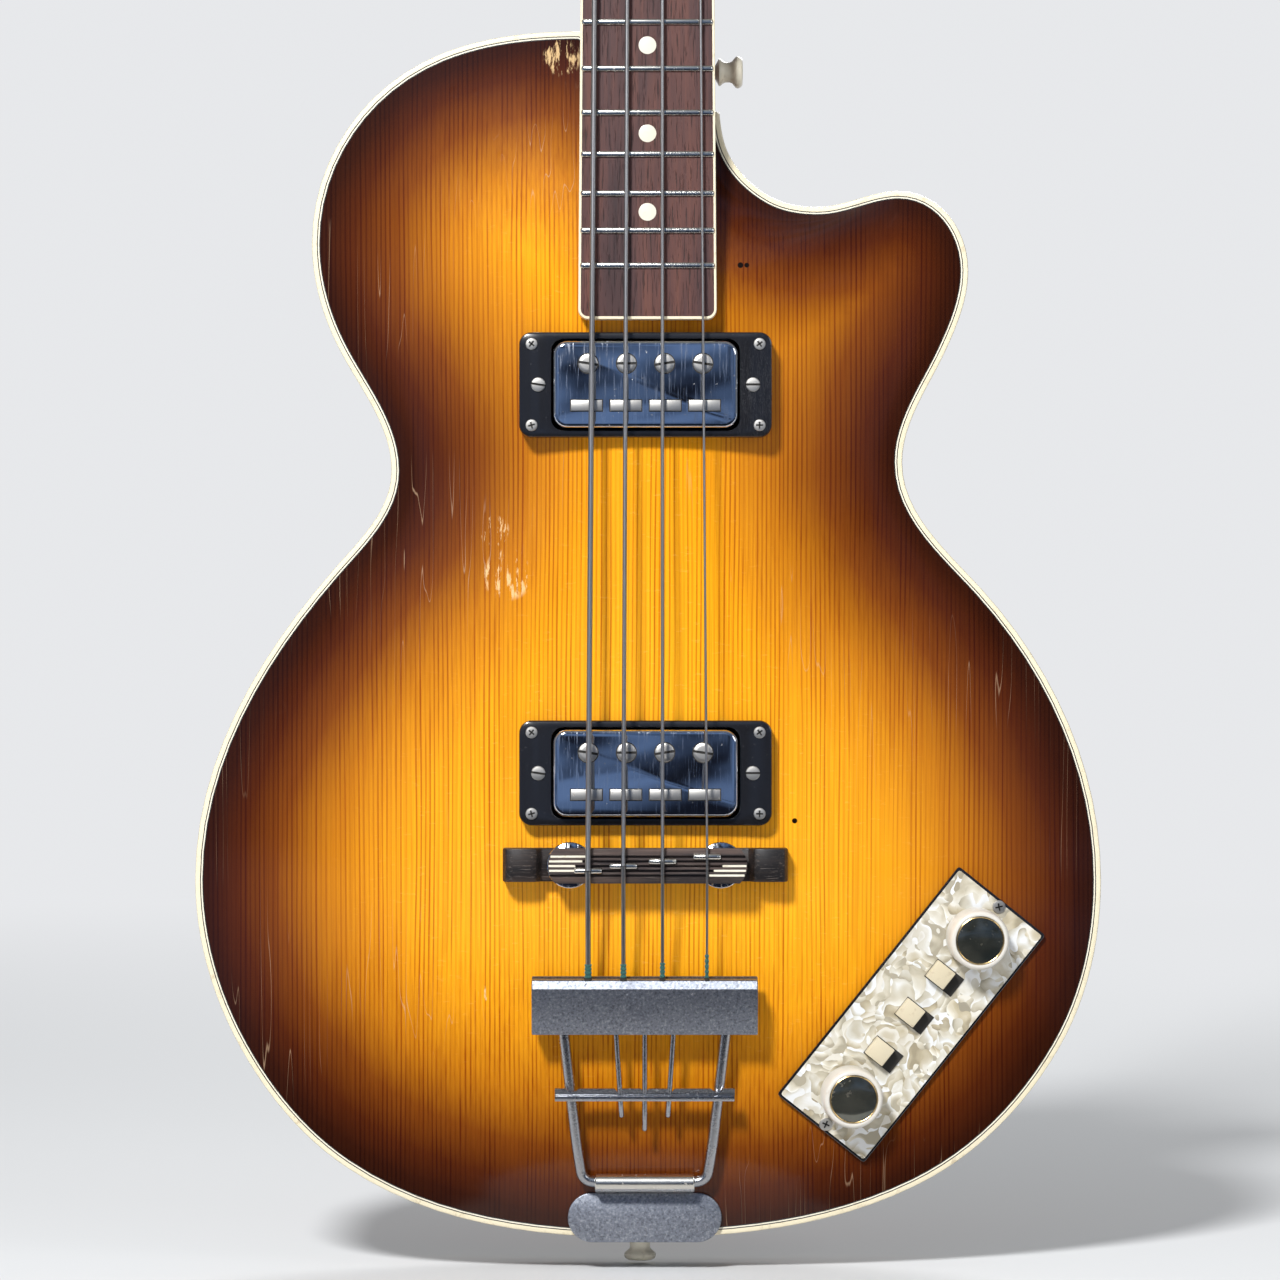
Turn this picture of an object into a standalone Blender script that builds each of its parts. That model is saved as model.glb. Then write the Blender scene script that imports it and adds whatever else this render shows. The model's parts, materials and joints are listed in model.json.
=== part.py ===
"""Electric bass guitar: a hollow arched body with one cutaway, a set neck with a floating board,
two pickups, a two-wheel wooden bridge, a hinged trapeze tailpiece, a slanted control plate and
two-a-side worm tuners.

Frame: metres, +Z runs up the neck, the front faces -Y and the cutaway is on +X. The origin is the
outer end of the tail strap button, half way between the rims. Pieces of the body are modelled in
plan: x across, y along the body from the origin, z out of the front from the top's rim plane.
"""

import math

import bmesh
import bpy
from mathutils import Matrix, Vector

MM = 0.001
GAP = 0.3 * MM  # what touching pieces keep between them
FIT = 0.35 * MM  # round pieces that turn in one another, each side
THROUGH = 30 * MM  # how far a cut goes past what it cuts

# Body
RIB_DEPTH = 40 * MM
TOP_ARCH = 10.5 * MM
BACK_ARCH = 8 * MM
PLATE_THICK = 4.5 * MM
PLATE_ARCH_RUN = 0.9  # share of the way from edge to spine in which the arch rises
BINDING_WIDTH = 3 * MM
RIB_WALL = 2 * MM
LINING_WIDTH = 8 * MM
LINING_FACE = 6.5 * MM
LINING_TAPER = 5 * MM
TOP_SHARES = (0, 0.12, 0.27, 0.45, 0.63, 0.8)  # rings of the top, as shares of the way to the spine
BACK_SHARES = (0, 0.15, 0.35, 0.55, 0.8)
INNER_SHARES = (0, 0.2, 0.5, 0.8)
SPINE_LOW = 130 * MM
SPINE_HIGH = 350 * MM
CURVE_STEPS = 3  # facets between two anchors of the outline
BODY_END = 10.4 * MM  # lowest point of the outline
BLOCK_CLEAR = 0.6 * MM
HEAD_BLOCK_X = (-40 * MM, 15 * MM)
HEAD_BLOCK_LOW = 350 * MM
HEAD_BLOCK_CUT = (10 * MM, 4 * MM)  # the corner cut away under the bass shoulder
HEAD_BLOCK_CLEAR = 2 * MM
TAIL_BLOCK_X = (-28 * MM, 22 * MM)
TAIL_BLOCK_LIFT = 1.8 * MM  # off the lining, where the end curves
TAIL_BLOCK_LENGTH = 20.8 * MM
BAR_X = 52 * MM
BAR_WIDTH = 7 * MM
BAR_DEPTH = 11 * MM
BAR_LOW = 62 * MM
BAR_HIGH = 338 * MM
BAR_STEPS = 8
BAR_UNDER = 0.8 * MM  # between a bar and the top over it

# Outline anchors in plan: x, y, heading of the edge in degrees, counter-clockwise from the neck
OUTLINE = (
    (-24.6, 450.2, 180),
    (-75.2, 442.0, 202),
    (-122.3, 373.0, 270),
    (-111.8, 333.3, 298),
    (-93.3, 290.0, 270),
    (-114.7, 253.6, 229),
    (-164.9, 141.0, 270),
    (-148.4, 79.7, 299),
    (-110.0, 36.2, 326),
    (-3.0, 10.4, 0),
    (97.6, 29.2, 26),
    (150.2, 79.7, 60),
    (165.4, 141.0, 90),
    (122.3, 246.4, 132),
    (92.9, 293.0, 90),
    (108.5, 333.3, 65),
    (117.0, 363.0, 90),
    (91.5, 392.0, 180),
    (62.0, 386.2, 180),
    (44.1, 390.4, 149),
    (29.5, 405.8, 115),
    (26.3, 420.3, 95),
)

# Strings, from the bass side
SCALE = 760 * MM
BRIDGE_LINE = 150 * MM
STRINGS = ("e", "a", "d", "g")
STRING_DIAMETER = {"e": 2.0 * MM, "a": 1.6 * MM, "d": 1.3 * MM, "g": 0.9 * MM}
SADDLE_X = {"e": -21.4 * MM, "a": -8.7 * MM, "d": 5.4 * MM, "g": 21.4 * MM}
NUT_X = {"e": -15.9 * MM, "a": -5.3 * MM, "d": 5.3 * MM, "g": 15.9 * MM}
SADDLE_TOP = 26.4 * MM  # above the top's rim plane
WRAPS = 2.25
WRAP_STEPS = 12
STRING_BEND = 1.2 * MM  # half the length of the bend over the saddle
BALL_INSET = 6 * MM  # from the bar's far edge to the string's end
WRAP_LEVEL = 9.5 * MM  # of the first turn, above the facing
WRAP_GAP = 0.5 * MM

# Neck
FRETS = 22
BOARD_OVERHANG_SHARE = 1 - 2 ** (-FRETS / 12)  # share of the scale that the frets take
NECK_ANGLE = math.radians(1.8)
BOARD_AT_NUT = -0.2 * MM  # board face at the zero fret, above the top's rim plane
BOARD_THICK = 5.5 * MM
BOARD_END_WIDTH = 50 * MM
BOARD_NUT_WIDTH = 42.5 * MM
BOARD_PAST_FRETS = 19.3 * MM  # from the last fret to the board's end
BOARD_OVERHANG = SCALE * BOARD_OVERHANG_SHARE + BOARD_PAST_FRETS  # from the zero fret to the board's end
BOARD_CORNER = 3.5 * MM
BOARD_BINDING = 1.0 * MM
FRET_WIDTH = 2.4 * MM
FRET_HEIGHT = 1.1 * MM
FRET_SINK = 0.5 * MM
NUT_LENGTH = 4 * MM
NUT_HEIGHT = 3.2 * MM
NUT_SETBACK = 3.5 * MM  # from the zero fret to the near face of the nut
NECK_DEPTH_NUT = 20 * MM  # with the board
NECK_DEPTH_HEEL = 23 * MM
NECK_EDGE = 3 * MM  # straight edge of the section under the board
NECK_START = 20 * MM  # from the zero fret, where the taper begins
HEEL_TAPER = 12 * MM
HEEL_CURVE = ((0.35, 0.16), (0.6, 0.42), (0.8, 0.8), (1, 1))  # share of the way, share of the depth
HEEL_LINE = 0.6  # share of the scale at which the heel meets the back
HEEL_START = 395 * MM  # from the zero fret
HEEL_FULL = 452 * MM
TONGUE_END = 520 * MM
HEEL_BASS = 24 * MM
HEEL_TREBLE = 26.3 * MM
HEEL_BUTTON_Y = 437 * MM
ROD_DIAMETER = 5 * MM
ROD_LENGTH = 420 * MM
ROD_END = 14 * MM  # beyond the zero fret
ROD_CHANNEL = 7 * MM  # depth, from the board's underside
ROD_POCKET = 15 * MM

# Headstock
HEAD_ANGLE = math.radians(13)
HEAD_THICK = 14 * MM
FACING_THICK = 1.5 * MM
FACING_START = 0.8 * MM  # from the nut
FACING_HALF = 22  # half its width there, in millimetres
POCKET_SIZE = (8 * MM, 16 * MM, 12 * MM)
# Half of the cover's plan in millimetres, from the facing's start
COVER_OUTLINE = ((8, 1), (7, 22), (0, 31))
ROD_COVER_THICK = 1.8 * MM
HEAD_DROP = 4.3 * MM  # facing's face below the board's, at the nut
# Half of the headstock's plan in millimetres, from the nut to the tip
HEAD_OUTLINE = ((21.5, 0), (24, 8), (34, 26), (35, 60), (36.5, 100), (39.5, 140), (30, 165), (12, 172))
HEAD_OUTLINE += ((0, 178),)

# Tuners: place of each post on the headstock
POST_AT = {"e": (-21, 48), "a": (-23, 112), "d": (23, 112), "g": (21, 48)}
POST_RADIUS = 4.5 * MM
POST_HEIGHT = 17 * MM
GEAR_TEETH = 14
GEAR_PITCH_RADIUS = 7.5 * MM
GEAR_THICK = 3.2 * MM
TOOTH_HALF_HEIGHT = 1.1 * MM
WORM_PITCH_RADIUS = 4.2 * MM
WORM_TURNS = 2
WORM_STEPS = 8
SHAFT_RADIUS = 1.8 * MM
TUNER_PLATE_THICK = 1.4 * MM
TUNER_PLATE_WIDTH = 21 * MM
TUNER_PLATE_X = 22 * MM
TUNER_PLATE_PAST = (19 * MM, 12 * MM)  # past its lower and upper post
LUG_THICK = 2.5 * MM
LUG_LENGTH = 7 * MM
LUG_REACH = 8.2 * MM
LUG_BELOW = 4.5 * MM  # past the key's axis
WORM_HALF = 6.4 * MM
KEY_SHAFT_END = 10.5 * MM
KEY_REACH = 25 * MM  # from the post's axis to the inner end of the button
KEY_WIDTH = 21 * MM
KEY_LENGTH = 16 * MM
KEY_THICK = 5 * MM

# Pickups
PICKUP_X = -0.7 * MM
PICKUP_FROM_BOARD = 23.4 * MM  # from the board's end to the neck pickup's middle
PICKUP_Y = {"neck": BRIDGE_LINE + SCALE - BOARD_OVERHANG - PICKUP_FROM_BOARD, "bridge": 180.2 * MM}
COVER_STANDS = {"neck": 2.6 * MM, "bridge": 4.2 * MM}  # above its ring
PICKUP_RANGE = {"neck": (-2, 1), "bridge": (-2, 2)}
RING_SIZE = (91.5 * MM, 38 * MM)
RING_CORNER = 4.5 * MM
RING_STANDS = 5.3 * MM  # above the flat of the arch
RING_SINK = 4 * MM  # how far its ends follow the arch down
COVER_SIZE = (66.7 * MM, 31.5 * MM)
COVER_CORNER = 5 * MM
COVER_DEPTH = 13 * MM
COVER_WALL = 0.9 * MM
COVER_FIT = 0.7 * MM
POLE_RADIUS = 3.5 * MM
POLE_PITCH = 13.8 * MM
POLE_ROW = 7.5 * MM
BLADE_SIZE = (11.2 * MM, 3.8 * MM)
BLADE_PITCH = 14.2 * MM
BLADE_ROW = -7.7 * MM
POLE_STANDS = 0.4 * MM
HEIGHT_SCREW_X = 38.8 * MM
HEIGHT_SCREW_RADIUS = 1.5 * MM
HEIGHT_SCREW_HEAD = 2.6 * MM
HEIGHT_SCREW_LENGTH = 11 * MM  # below the flat of the arch
EAR_WIDTH = 10 * MM
CARRIER_THICK = 1.5 * MM
CARRIER_NECK = 40 * MM

# Bridge
BRIDGE_X = -0.8 * MM
BRIDGE_Y = 147.0 * MM
BASE_SIZE = (103 * MM, 12 * MM)
BASE_END_STANDS = 9 * MM
BASE_MIDDLE_STANDS = 4.6 * MM
BASE_END_LENGTH = 14 * MM
BASE_END_SLOPE = 4 * MM
BASE_TIP_STANDS = 5 * MM
BASE_SINK = 6 * MM  # how far its ends follow the arch down
BRIDGE_TOP_SIZE = (72 * MM, 12.6 * MM)
BRIDGE_TOP_THICK = 5.4 * MM
WHEEL_X = 27.2 * MM
WHEEL_RADIUS = 8.5 * MM
WHEEL_THICK = 2.6 * MM
STUD_RADIUS = 2 * MM
SLOT_PITCH = 1.7 * MM
SLOT_WIDTH = 0.9 * MM
SLOT_DEPTH = 2.2 * MM
SLOTS = 5
SADDLE_LENGTH = 9.8 * MM
SADDLE_CROWN = 2.4 * MM
SADDLE_HEIGHT = 1.5 * MM
BRIDGE_TOP_CHAMFER = 1.1 * MM  # where the strings fall away to the tailpiece

# Tailpiece
HINGE_Y = 31 * MM
HINGE_RADIUS = 3.4 * MM
HINGE_HEIGHT = 6.0 * MM  # of its axis above the top's rim plane
HINGE_WIDTH = 36 * MM
TAIL_X = -1 * MM  # the tailpiece's middle, from the neck's centre line
BAR_SIZE = (81.5 * MM, 20 * MM, 8 * MM)
BAR_AT = 56.3 * MM  # near edge of the bar from the hinge axis
BAR_WALL = 1.5 * MM
BAR_LIP = 2.6 * MM
BAR_NOTCH_EXTRA = 1.4 * MM  # wider than its string
BAR_NOTCH_HEIGHT = 2.4 * MM
WIRE_RADIUS = 2 * MM
FRAME_TOP_HALF = 29.3 * MM
FRAME_BENDS = ((27, 36), (24.6, 13.5), (20, 3.2), (17, 0))  # half width and distance from the hinge, mm
BRACE_SIZE = (65 * MM, 4.2 * MM, 3 * MM)
BRACE_AT = 34 * MM
BRACE_FLANGE = 1.2 * MM
BRACE_RODS = ((-10.3, -8.6, 26), (0, 0, 21), (10.3, 8.6, 26))  # x at the bar, x and y at the free end, mm
ROD_RADIUS = 0.95 * MM
HINGE_PLATE = (56 * MM, 18 * MM)
LEAF_THICK = 1.3 * MM
LEAF_DROP = 30 * MM
LEAF_WIDTH = 36 * MM
LEAF_STANDS = 2.2 * MM  # above the top's rim plane

# Strap buttons
BUTTON_FLANGE = 5.9 * MM
BUTTON_NECK = 3.7 * MM
BUTTON_FOOT = 5 * MM
BUTTON_LENGTH = 8.5 * MM
BUTTON_STEM = 2 * MM
BUTTON_STEM_LENGTH = 22 * MM
BUTTON_X = -2.7 * MM  # the tail button's axis, from the neck's centre line

# Controls, on a plate whose long axis u leans to the right of the neck's direction
PLATE_AT = (96.0 * MM, 92.0 * MM)
PLATE_SIZE = (106 * MM, 40.5 * MM)
PLATE_LEAN = math.radians(38.6)
PLATE_CORNER = 1 * MM
PLATE_CUT = 10 * MM  # facets of the bend
PANEL_THICK = 2 * MM
KNOB_U = 36.6 * MM
KNOB_RADIUS = 10.9 * MM
KNOB_HEIGHT = 12.5 * MM
KNOB_CAP_RADIUS = 8.6 * MM
KNOB_CAP_THICK = 1.5 * MM
KNOB_LIFT = 1 * MM
SHAFT_BORE = 3 * MM
SHAFT_IN_KNOB = 7 * MM
OPENING_SIZE = (27 * MM, 98 * MM)
OPENING_CORNER = 13 * MM
RAIL_SIZE = (12 * MM, 94 * MM, 1.6 * MM)
RAIL_LEVEL = -11 * MM
POT_RADIUS = 8 * MM
POT_LOW = -14 * MM
POT_HIGH = -6 * MM
SWITCH_SIZE = (14 * MM, 12 * MM, 6 * MM)
SLIDER_U = (18.0 * MM, 0.4 * MM, -17.5 * MM)
SLIDER_SIZE = (7.8 * MM, 7.5 * MM, 3.4 * MM)
SLIDER_V = -1.6 * MM
SLIDER_TRAVEL = 4 * MM
SLIDER_STEM = (3 * MM, 3 * MM, 7 * MM)
JACK_RADIUS = 11.5 * MM
JACK_BARREL = 4.8 * MM
JACK_BORE = 3.25 * MM
JACK_DEPTH = 24 * MM
JACK_SEGMENT = 10  # which stretch of the outline carries it

ROUND = 16
FINE = 24

FINISHES = {
    "sunburst": ((0.55, 0.20, 0.04), 0.28, 0.0),
    "side_lacquer": ((0.16, 0.05, 0.025), 0.3, 0.0),
    "ivory": ((0.86, 0.80, 0.66), 0.4, 0.0),
    "maple": ((0.36, 0.17, 0.07), 0.35, 0.0),
    "spruce": ((0.70, 0.52, 0.30), 0.7, 0.0),
    "rosewood": ((0.13, 0.055, 0.045), 0.5, 0.0),
    "ebony": ((0.02, 0.017, 0.016), 0.4, 0.0),
    "chrome": ((0.80, 0.80, 0.80), 0.12, 1.0),
    "nickel": ((0.62, 0.61, 0.58), 0.3, 1.0),
    "steel": ((0.60, 0.60, 0.61), 0.35, 1.0),
    "black_plastic": ((0.012, 0.012, 0.013), 0.25, 0.0),
    "cream_plastic": ((0.80, 0.72, 0.56), 0.4, 0.0),
    "pearl": ((0.82, 0.81, 0.77), 0.25, 0.0),
    "mirror_cap": ((0.05, 0.05, 0.06), 0.08, 1.0),
}


def finish(name):
    """A material with the piece's colour, roughness and metallic value."""
    material = bpy.data.materials.get(name)
    if material:
        return material
    colour, roughness, metallic = FINISHES[name]
    material = bpy.data.materials.new(name)
    material.use_nodes = True
    shader = material.node_tree.nodes["Principled BSDF"]
    shader.inputs["Base Color"].default_value = (*colour, 1)
    shader.inputs["Roughness"].default_value = roughness
    shader.inputs["Metallic"].default_value = metallic
    return material


def empty(name, parent=None, at=(0, 0, 0), turn=(0, 0, 0)):
    """A frame that pieces are placed in."""
    frame = bpy.data.objects.new(name, None)
    frame.parent = parent
    frame.location = at
    frame.rotation_euler = turn
    frame.empty_display_size = 0.02
    bpy.context.collection.objects.link(frame)
    return frame


def piece(name, bm, look, parent=None, at=(0, 0, 0), turn=(0, 0, 0), smooth=True):
    """An object from a bmesh that is closed; its faces are turned outwards."""
    bmesh.ops.remove_doubles(bm, verts=bm.verts, dist=1e-6)
    bmesh.ops.recalc_face_normals(bm, faces=bm.faces)
    mesh = bpy.data.meshes.new(name)
    bm.to_mesh(mesh)
    bm.free()
    if smooth:
        mesh.shade_smooth()
        mesh.set_sharp_from_angle(angle=math.radians(35))
    mesh.materials.append(finish(look))
    made = bpy.data.objects.new(name, mesh)
    made.parent = parent
    made.location = at
    made.rotation_euler = turn
    bpy.context.collection.objects.link(made)
    return made


def cutter(name, bm, parent=None, at=(0, 0, 0), turn=(0, 0, 0)):
    """A helper that only cuts or joins, so it is left out of the model."""
    made = piece(name, bm, "ebony", parent, at, turn, smooth=False)
    made.hide_render = True
    made.display_type = "WIRE"
    return made


def boolean(target, other, operation="DIFFERENCE"):
    modifier = target.modifiers.new(other.name, "BOOLEAN")
    modifier.operation = operation
    modifier.solver = "EXACT"
    modifier.object = other


def prism(points, low, high):
    """A closed prism on a plan outline, between two heights."""
    bm = bmesh.new()
    base = bm.faces.new([bm.verts.new((x, y, low)) for x, y in points])
    top = bmesh.ops.extrude_face_region(bm, geom=[base])["geom"]
    raised = [item for item in top if isinstance(item, bmesh.types.BMVert)]
    bmesh.ops.translate(bm, verts=raised, vec=(0, 0, high - low))
    return bm


def block(size, centre=(0, 0, 0)):
    """A box of a size about a centre."""
    bm = bmesh.new()
    bmesh.ops.create_cube(bm, size=1, matrix=Matrix.Translation(centre) @ Matrix.Diagonal((*size, 1)))
    return bm


def turned(profile, segments=ROUND):
    """A solid turned about Z from (radius, height) points that start and end on the axis."""
    bm = bmesh.new()
    line = [bm.verts.new((radius, 0, height)) for radius, height in profile]
    edges = [bm.edges.new(pair) for pair in zip(line, line[1:])]
    bmesh.ops.spin(
        bm, geom=line + edges, cent=(0, 0, 0), axis=(0, 0, 1), angle=math.tau, steps=segments, use_merge=True
    )
    bmesh.ops.remove_doubles(bm, verts=bm.verts, dist=1e-6)
    return bm


def tube_wall(outer, bore, low, high, segments=ROUND):
    """A bushing: a turned ring with a square section."""
    profile = [(bore, low), (outer, low), (outer, high), (bore, high), (bore, low)]
    return turned(profile, segments)


def cylinder(radius, low, high, segments=ROUND):
    return turned([(0, low), (radius, low), (radius, high), (0, high)], segments)


def moved(bm, matrix):
    bmesh.ops.transform(bm, matrix=matrix, verts=bm.verts)
    return bm


def rounded(width, length, corner, steps=4, centre=(0, 0)):
    """Plan points of a rectangle with round corners."""
    points = []
    for quarter in range(4):
        sx = 1 if quarter in (0, 3) else -1
        sy = 1 if quarter in (0, 1) else -1
        for step in range(steps + 1):
            angle = math.radians(90 * (quarter + step / steps))
            x = sx * (width / 2 - corner) + corner * math.cos(angle)
            y = sy * (length / 2 - corner) + corner * math.sin(angle)
            points.append((centre[0] + x, centre[1] + y))
    return points


def loft(sections, closed=False):
    """A solid through rings of points with equal counts; its ends are filled unless it closes."""
    bm = bmesh.new()
    rings = [[bm.verts.new(point) for point in section] for section in sections]
    pairs = list(zip(rings, rings[1:]))
    if closed:
        pairs.append((rings[-1], rings[0]))
    for near, far in pairs:
        for i, vert in enumerate(near):
            j = (i + 1) % len(near)
            bm.faces.new((vert, near[j], far[j], far[i]))
    if not closed:
        bm.faces.new(rings[0][::-1])
        bm.faces.new(rings[-1])
    return bm


def bezier(start, end, steps):
    """Points from one anchor to the next, leaving and arriving at the anchors' headings."""
    a = Vector(start[:2])
    d = Vector(end[:2])
    turn = math.radians((end[2] - start[2] + 180) % 360 - 180)
    reach = (d - a).length / (3 * math.cos(turn / 4) ** 2)
    b = a + reach * Vector((math.cos(math.radians(start[2])), math.sin(math.radians(start[2]))))
    c = d - reach * Vector((math.cos(math.radians(end[2])), math.sin(math.radians(end[2]))))
    points = []
    for step in range(steps):
        t = step / steps
        s = 1 - t
        points.append(s**3 * a + 3 * s * s * t * b + 3 * s * t * t * c + t**3 * d)
    return points


def outline():
    """The body's edge in plan, in metres, counter-clockwise, without a repeated end."""
    points = []
    for start, end in zip(OUTLINE, OUTLINE[1:]):
        points += bezier(start, end, CURVE_STEPS)
    points.append(Vector(OUTLINE[-1][:2]))
    return [point * MM for point in points]


def inset(points, distance):
    """The closed outline moved inwards, or outwards where the distance is negative."""
    moved_in = []
    count = len(points)
    for i, point in enumerate(points):
        before = (point - points[i - 1]).normalized()
        after = (points[(i + 1) % count] - point).normalized()
        along = (before + after).normalized()
        inward = Vector((-along.y, along.x))
        share = max(0.5, inward.dot(Vector((-before.y, before.x))))
        moved_in.append(point + inward * (distance / share))
    return moved_in


def spine_point(point):
    return Vector((0, min(max(point.y, SPINE_LOW), SPINE_HIGH)))


def rise(share):
    """Height of the arch, as a share of its full height, at a share of the way in from the edge."""
    part = min(1, share / PLATE_ARCH_RUN)
    return part * part * (3 - 2 * part)


def arch_rings(edge, shares, height, base):
    """Rings of points that climb from an edge towards the spine."""
    rings = []
    for share in shares:
        level = base + height * rise(share)
        ring = []
        for point in edge:
            place = point.lerp(spine_point(point), share)
            ring.append((place.x, place.y, level))
        rings.append(ring)
    return rings


def arch_height(x, y):
    """Height of the top over its rim plane at a place in plan."""
    place = Vector((x, y))
    centre = spine_point(place)
    ray = place - centre
    edge = outline()
    far = None
    for a, b in zip(edge, edge[1:] + edge[:1]):
        side = b - a
        cross = ray.x * side.y - ray.y * side.x
        if abs(cross) < 1e-12:
            continue
        offset = a - centre
        along = (offset.x * side.y - offset.y * side.x) / cross
        across = (offset.x * ray.y - offset.y * ray.x) / cross
        if along > 0 and 0 <= across <= 1 and (far is None or along < far):
            far = along
    if far is None:
        return TOP_ARCH
    return TOP_ARCH * rise(max(0, 1 - 1 / far))


def arch_normal(x, y):
    """Unit normal of the top, in plan axes."""
    step = 2 * MM
    slope_x = (arch_height(x + step, y) - arch_height(x - step, y)) / (2 * step)
    slope_y = (arch_height(x, y + step) - arch_height(x, y - step)) / (2 * step)
    return Vector((-slope_x, -slope_y, 1)).normalized()


def body_envelope(name, parent):
    """A cutter of the body's outside, grown by the gap, that seats what lies on the top."""
    edge = inset(outline(), -GAP)
    rings = [[(p.x, p.y, -RIB_DEPTH - THROUGH) for p in edge]]
    rings += arch_rings(edge, TOP_SHARES, TOP_ARCH, GAP)
    return cutter(name, loft(rings), parent)


def plate(name, look, parent, side):
    """An arched plate inside the bindings: side is 1 for the top and -1 for the back."""
    height = TOP_ARCH if side > 0 else BACK_ARCH
    edge = inset(outline(), BINDING_WIDTH + GAP)
    outside = arch_rings(edge, TOP_SHARES if side > 0 else BACK_SHARES, height, 0)
    inside = arch_rings(edge, INNER_SHARES, height, -PLATE_THICK)
    bm = loft(outside[::-1] + inside)
    if side < 0:
        bmesh.ops.scale(bm, verts=bm.verts, vec=(1, 1, -1))
        bmesh.ops.translate(bm, verts=bm.verts, vec=(0, 0, -RIB_DEPTH))
    return piece(name, bm, look, parent)


def sweep_edge(profile):
    """A closed band along the outline from (inset, height) points."""
    edge = outline()
    lines = {distance: inset(edge, distance) for distance, _ in profile}
    sections = []
    for i in range(len(edge)):
        sections.append([(lines[d][i].x, lines[d][i].y, h) for d, h in profile])
    return loft(sections, closed=True)


def body(front):
    """Top, back, their bindings and the rib with its linings; returns what later pieces cut."""
    top = plate("body_top", "sunburst", front, 1)
    plate("body_back", "side_lacquer", front, -1)
    for name, high in (("top_binding", 0), ("back_binding", -RIB_DEPTH + PLATE_THICK)):
        low = high - PLATE_THICK
        profile = [(0, low), (BINDING_WIDTH, low), (BINDING_WIDTH, high), (0, high)]
        piece(name, sweep_edge(profile), "ivory", front)
    high = -PLATE_THICK - GAP
    low = -RIB_DEPTH + PLATE_THICK + GAP
    taper = LINING_FACE + LINING_TAPER
    profile = [(0, low), (LINING_WIDTH, low), (LINING_WIDTH, low + LINING_FACE), (RIB_WALL, low + taper)]
    profile += [(RIB_WALL, high - taper), (LINING_WIDTH, high - LINING_FACE), (LINING_WIDTH, high), (0, high)]
    sides = piece("body_sides", sweep_edge(profile), "side_lacquer", front)
    return top, sides


def inner_blocks(front):
    """The end blocks and the two tone bars, inside the closed body."""
    high = -PLATE_THICK - 2 * GAP
    low = -RIB_DEPTH + PLATE_THICK + 2 * GAP
    clear = LINING_WIDTH + BLOCK_CLEAR
    end = OUTLINE[0][1] * MM - clear - HEAD_BLOCK_CLEAR
    corner = OUTLINE[-1][1] * MM - clear
    left, right = HEAD_BLOCK_X
    head = [(left, HEAD_BLOCK_LOW), (right, HEAD_BLOCK_LOW), (right, corner)]
    head += [(left + HEAD_BLOCK_CUT[0], end), (left, end - HEAD_BLOCK_CUT[1])]
    piece("head_block", prism(head, low, high), "maple", front, smooth=False)
    foot = BODY_END + clear + TAIL_BLOCK_LIFT
    left, right = TAIL_BLOCK_X
    tail = [(left, foot), (right, foot), (right, foot + TAIL_BLOCK_LENGTH), (left, foot + TAIL_BLOCK_LENGTH)]
    tail_block = piece("tail_block", prism(tail, low, high), "maple", front, smooth=False)
    for name, side in (("tone_bar_bass", -1), ("tone_bar_treble", 1)):
        sections = []
        for step in range(BAR_STEPS + 1):
            y = BAR_LOW + (BAR_HIGH - BAR_LOW) * step / BAR_STEPS
            section = []
            for x_side, drop in ((-1, 0), (1, 0), (1, BAR_DEPTH), (-1, BAR_DEPTH)):
                x = side * BAR_X + x_side * BAR_WIDTH / 2
                under = arch_height(side * (BAR_X + BAR_WIDTH / 2), y) - PLATE_THICK - BAR_UNDER
                section.append((x, y, under - drop))
            sections.append(section)
        piece(name, loft(sections), "spruce", front, smooth=False)
    return tail_block


def board_width(distance):
    """Width of the fingerboard at a distance from the zero fret."""
    return BOARD_NUT_WIDTH + (BOARD_END_WIDTH - BOARD_NUT_WIDTH) * distance / BOARD_OVERHANG


def fret_distance(number):
    return SCALE * (1 - 2 ** (-number / 12))


def board_outline(margin):
    """Plan points of the board inside a margin, in the neck's frame."""
    half_nut = board_width(-NUT_SETBACK) / 2 - margin
    half_end = BOARD_END_WIDTH / 2 - margin
    end = -BOARD_OVERHANG + margin
    corner = BOARD_CORNER - margin
    points = [(half_nut, NUT_SETBACK - GAP), (-half_nut, NUT_SETBACK - GAP)]
    for side, first in ((-1, 180), (1, 270)):
        for step in range(5):
            angle = math.radians(first + 90 * step / 4)
            x = side * (half_end - corner) + corner * math.cos(angle)
            points.append((x, end + corner + corner * math.sin(angle)))
    return points


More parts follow.
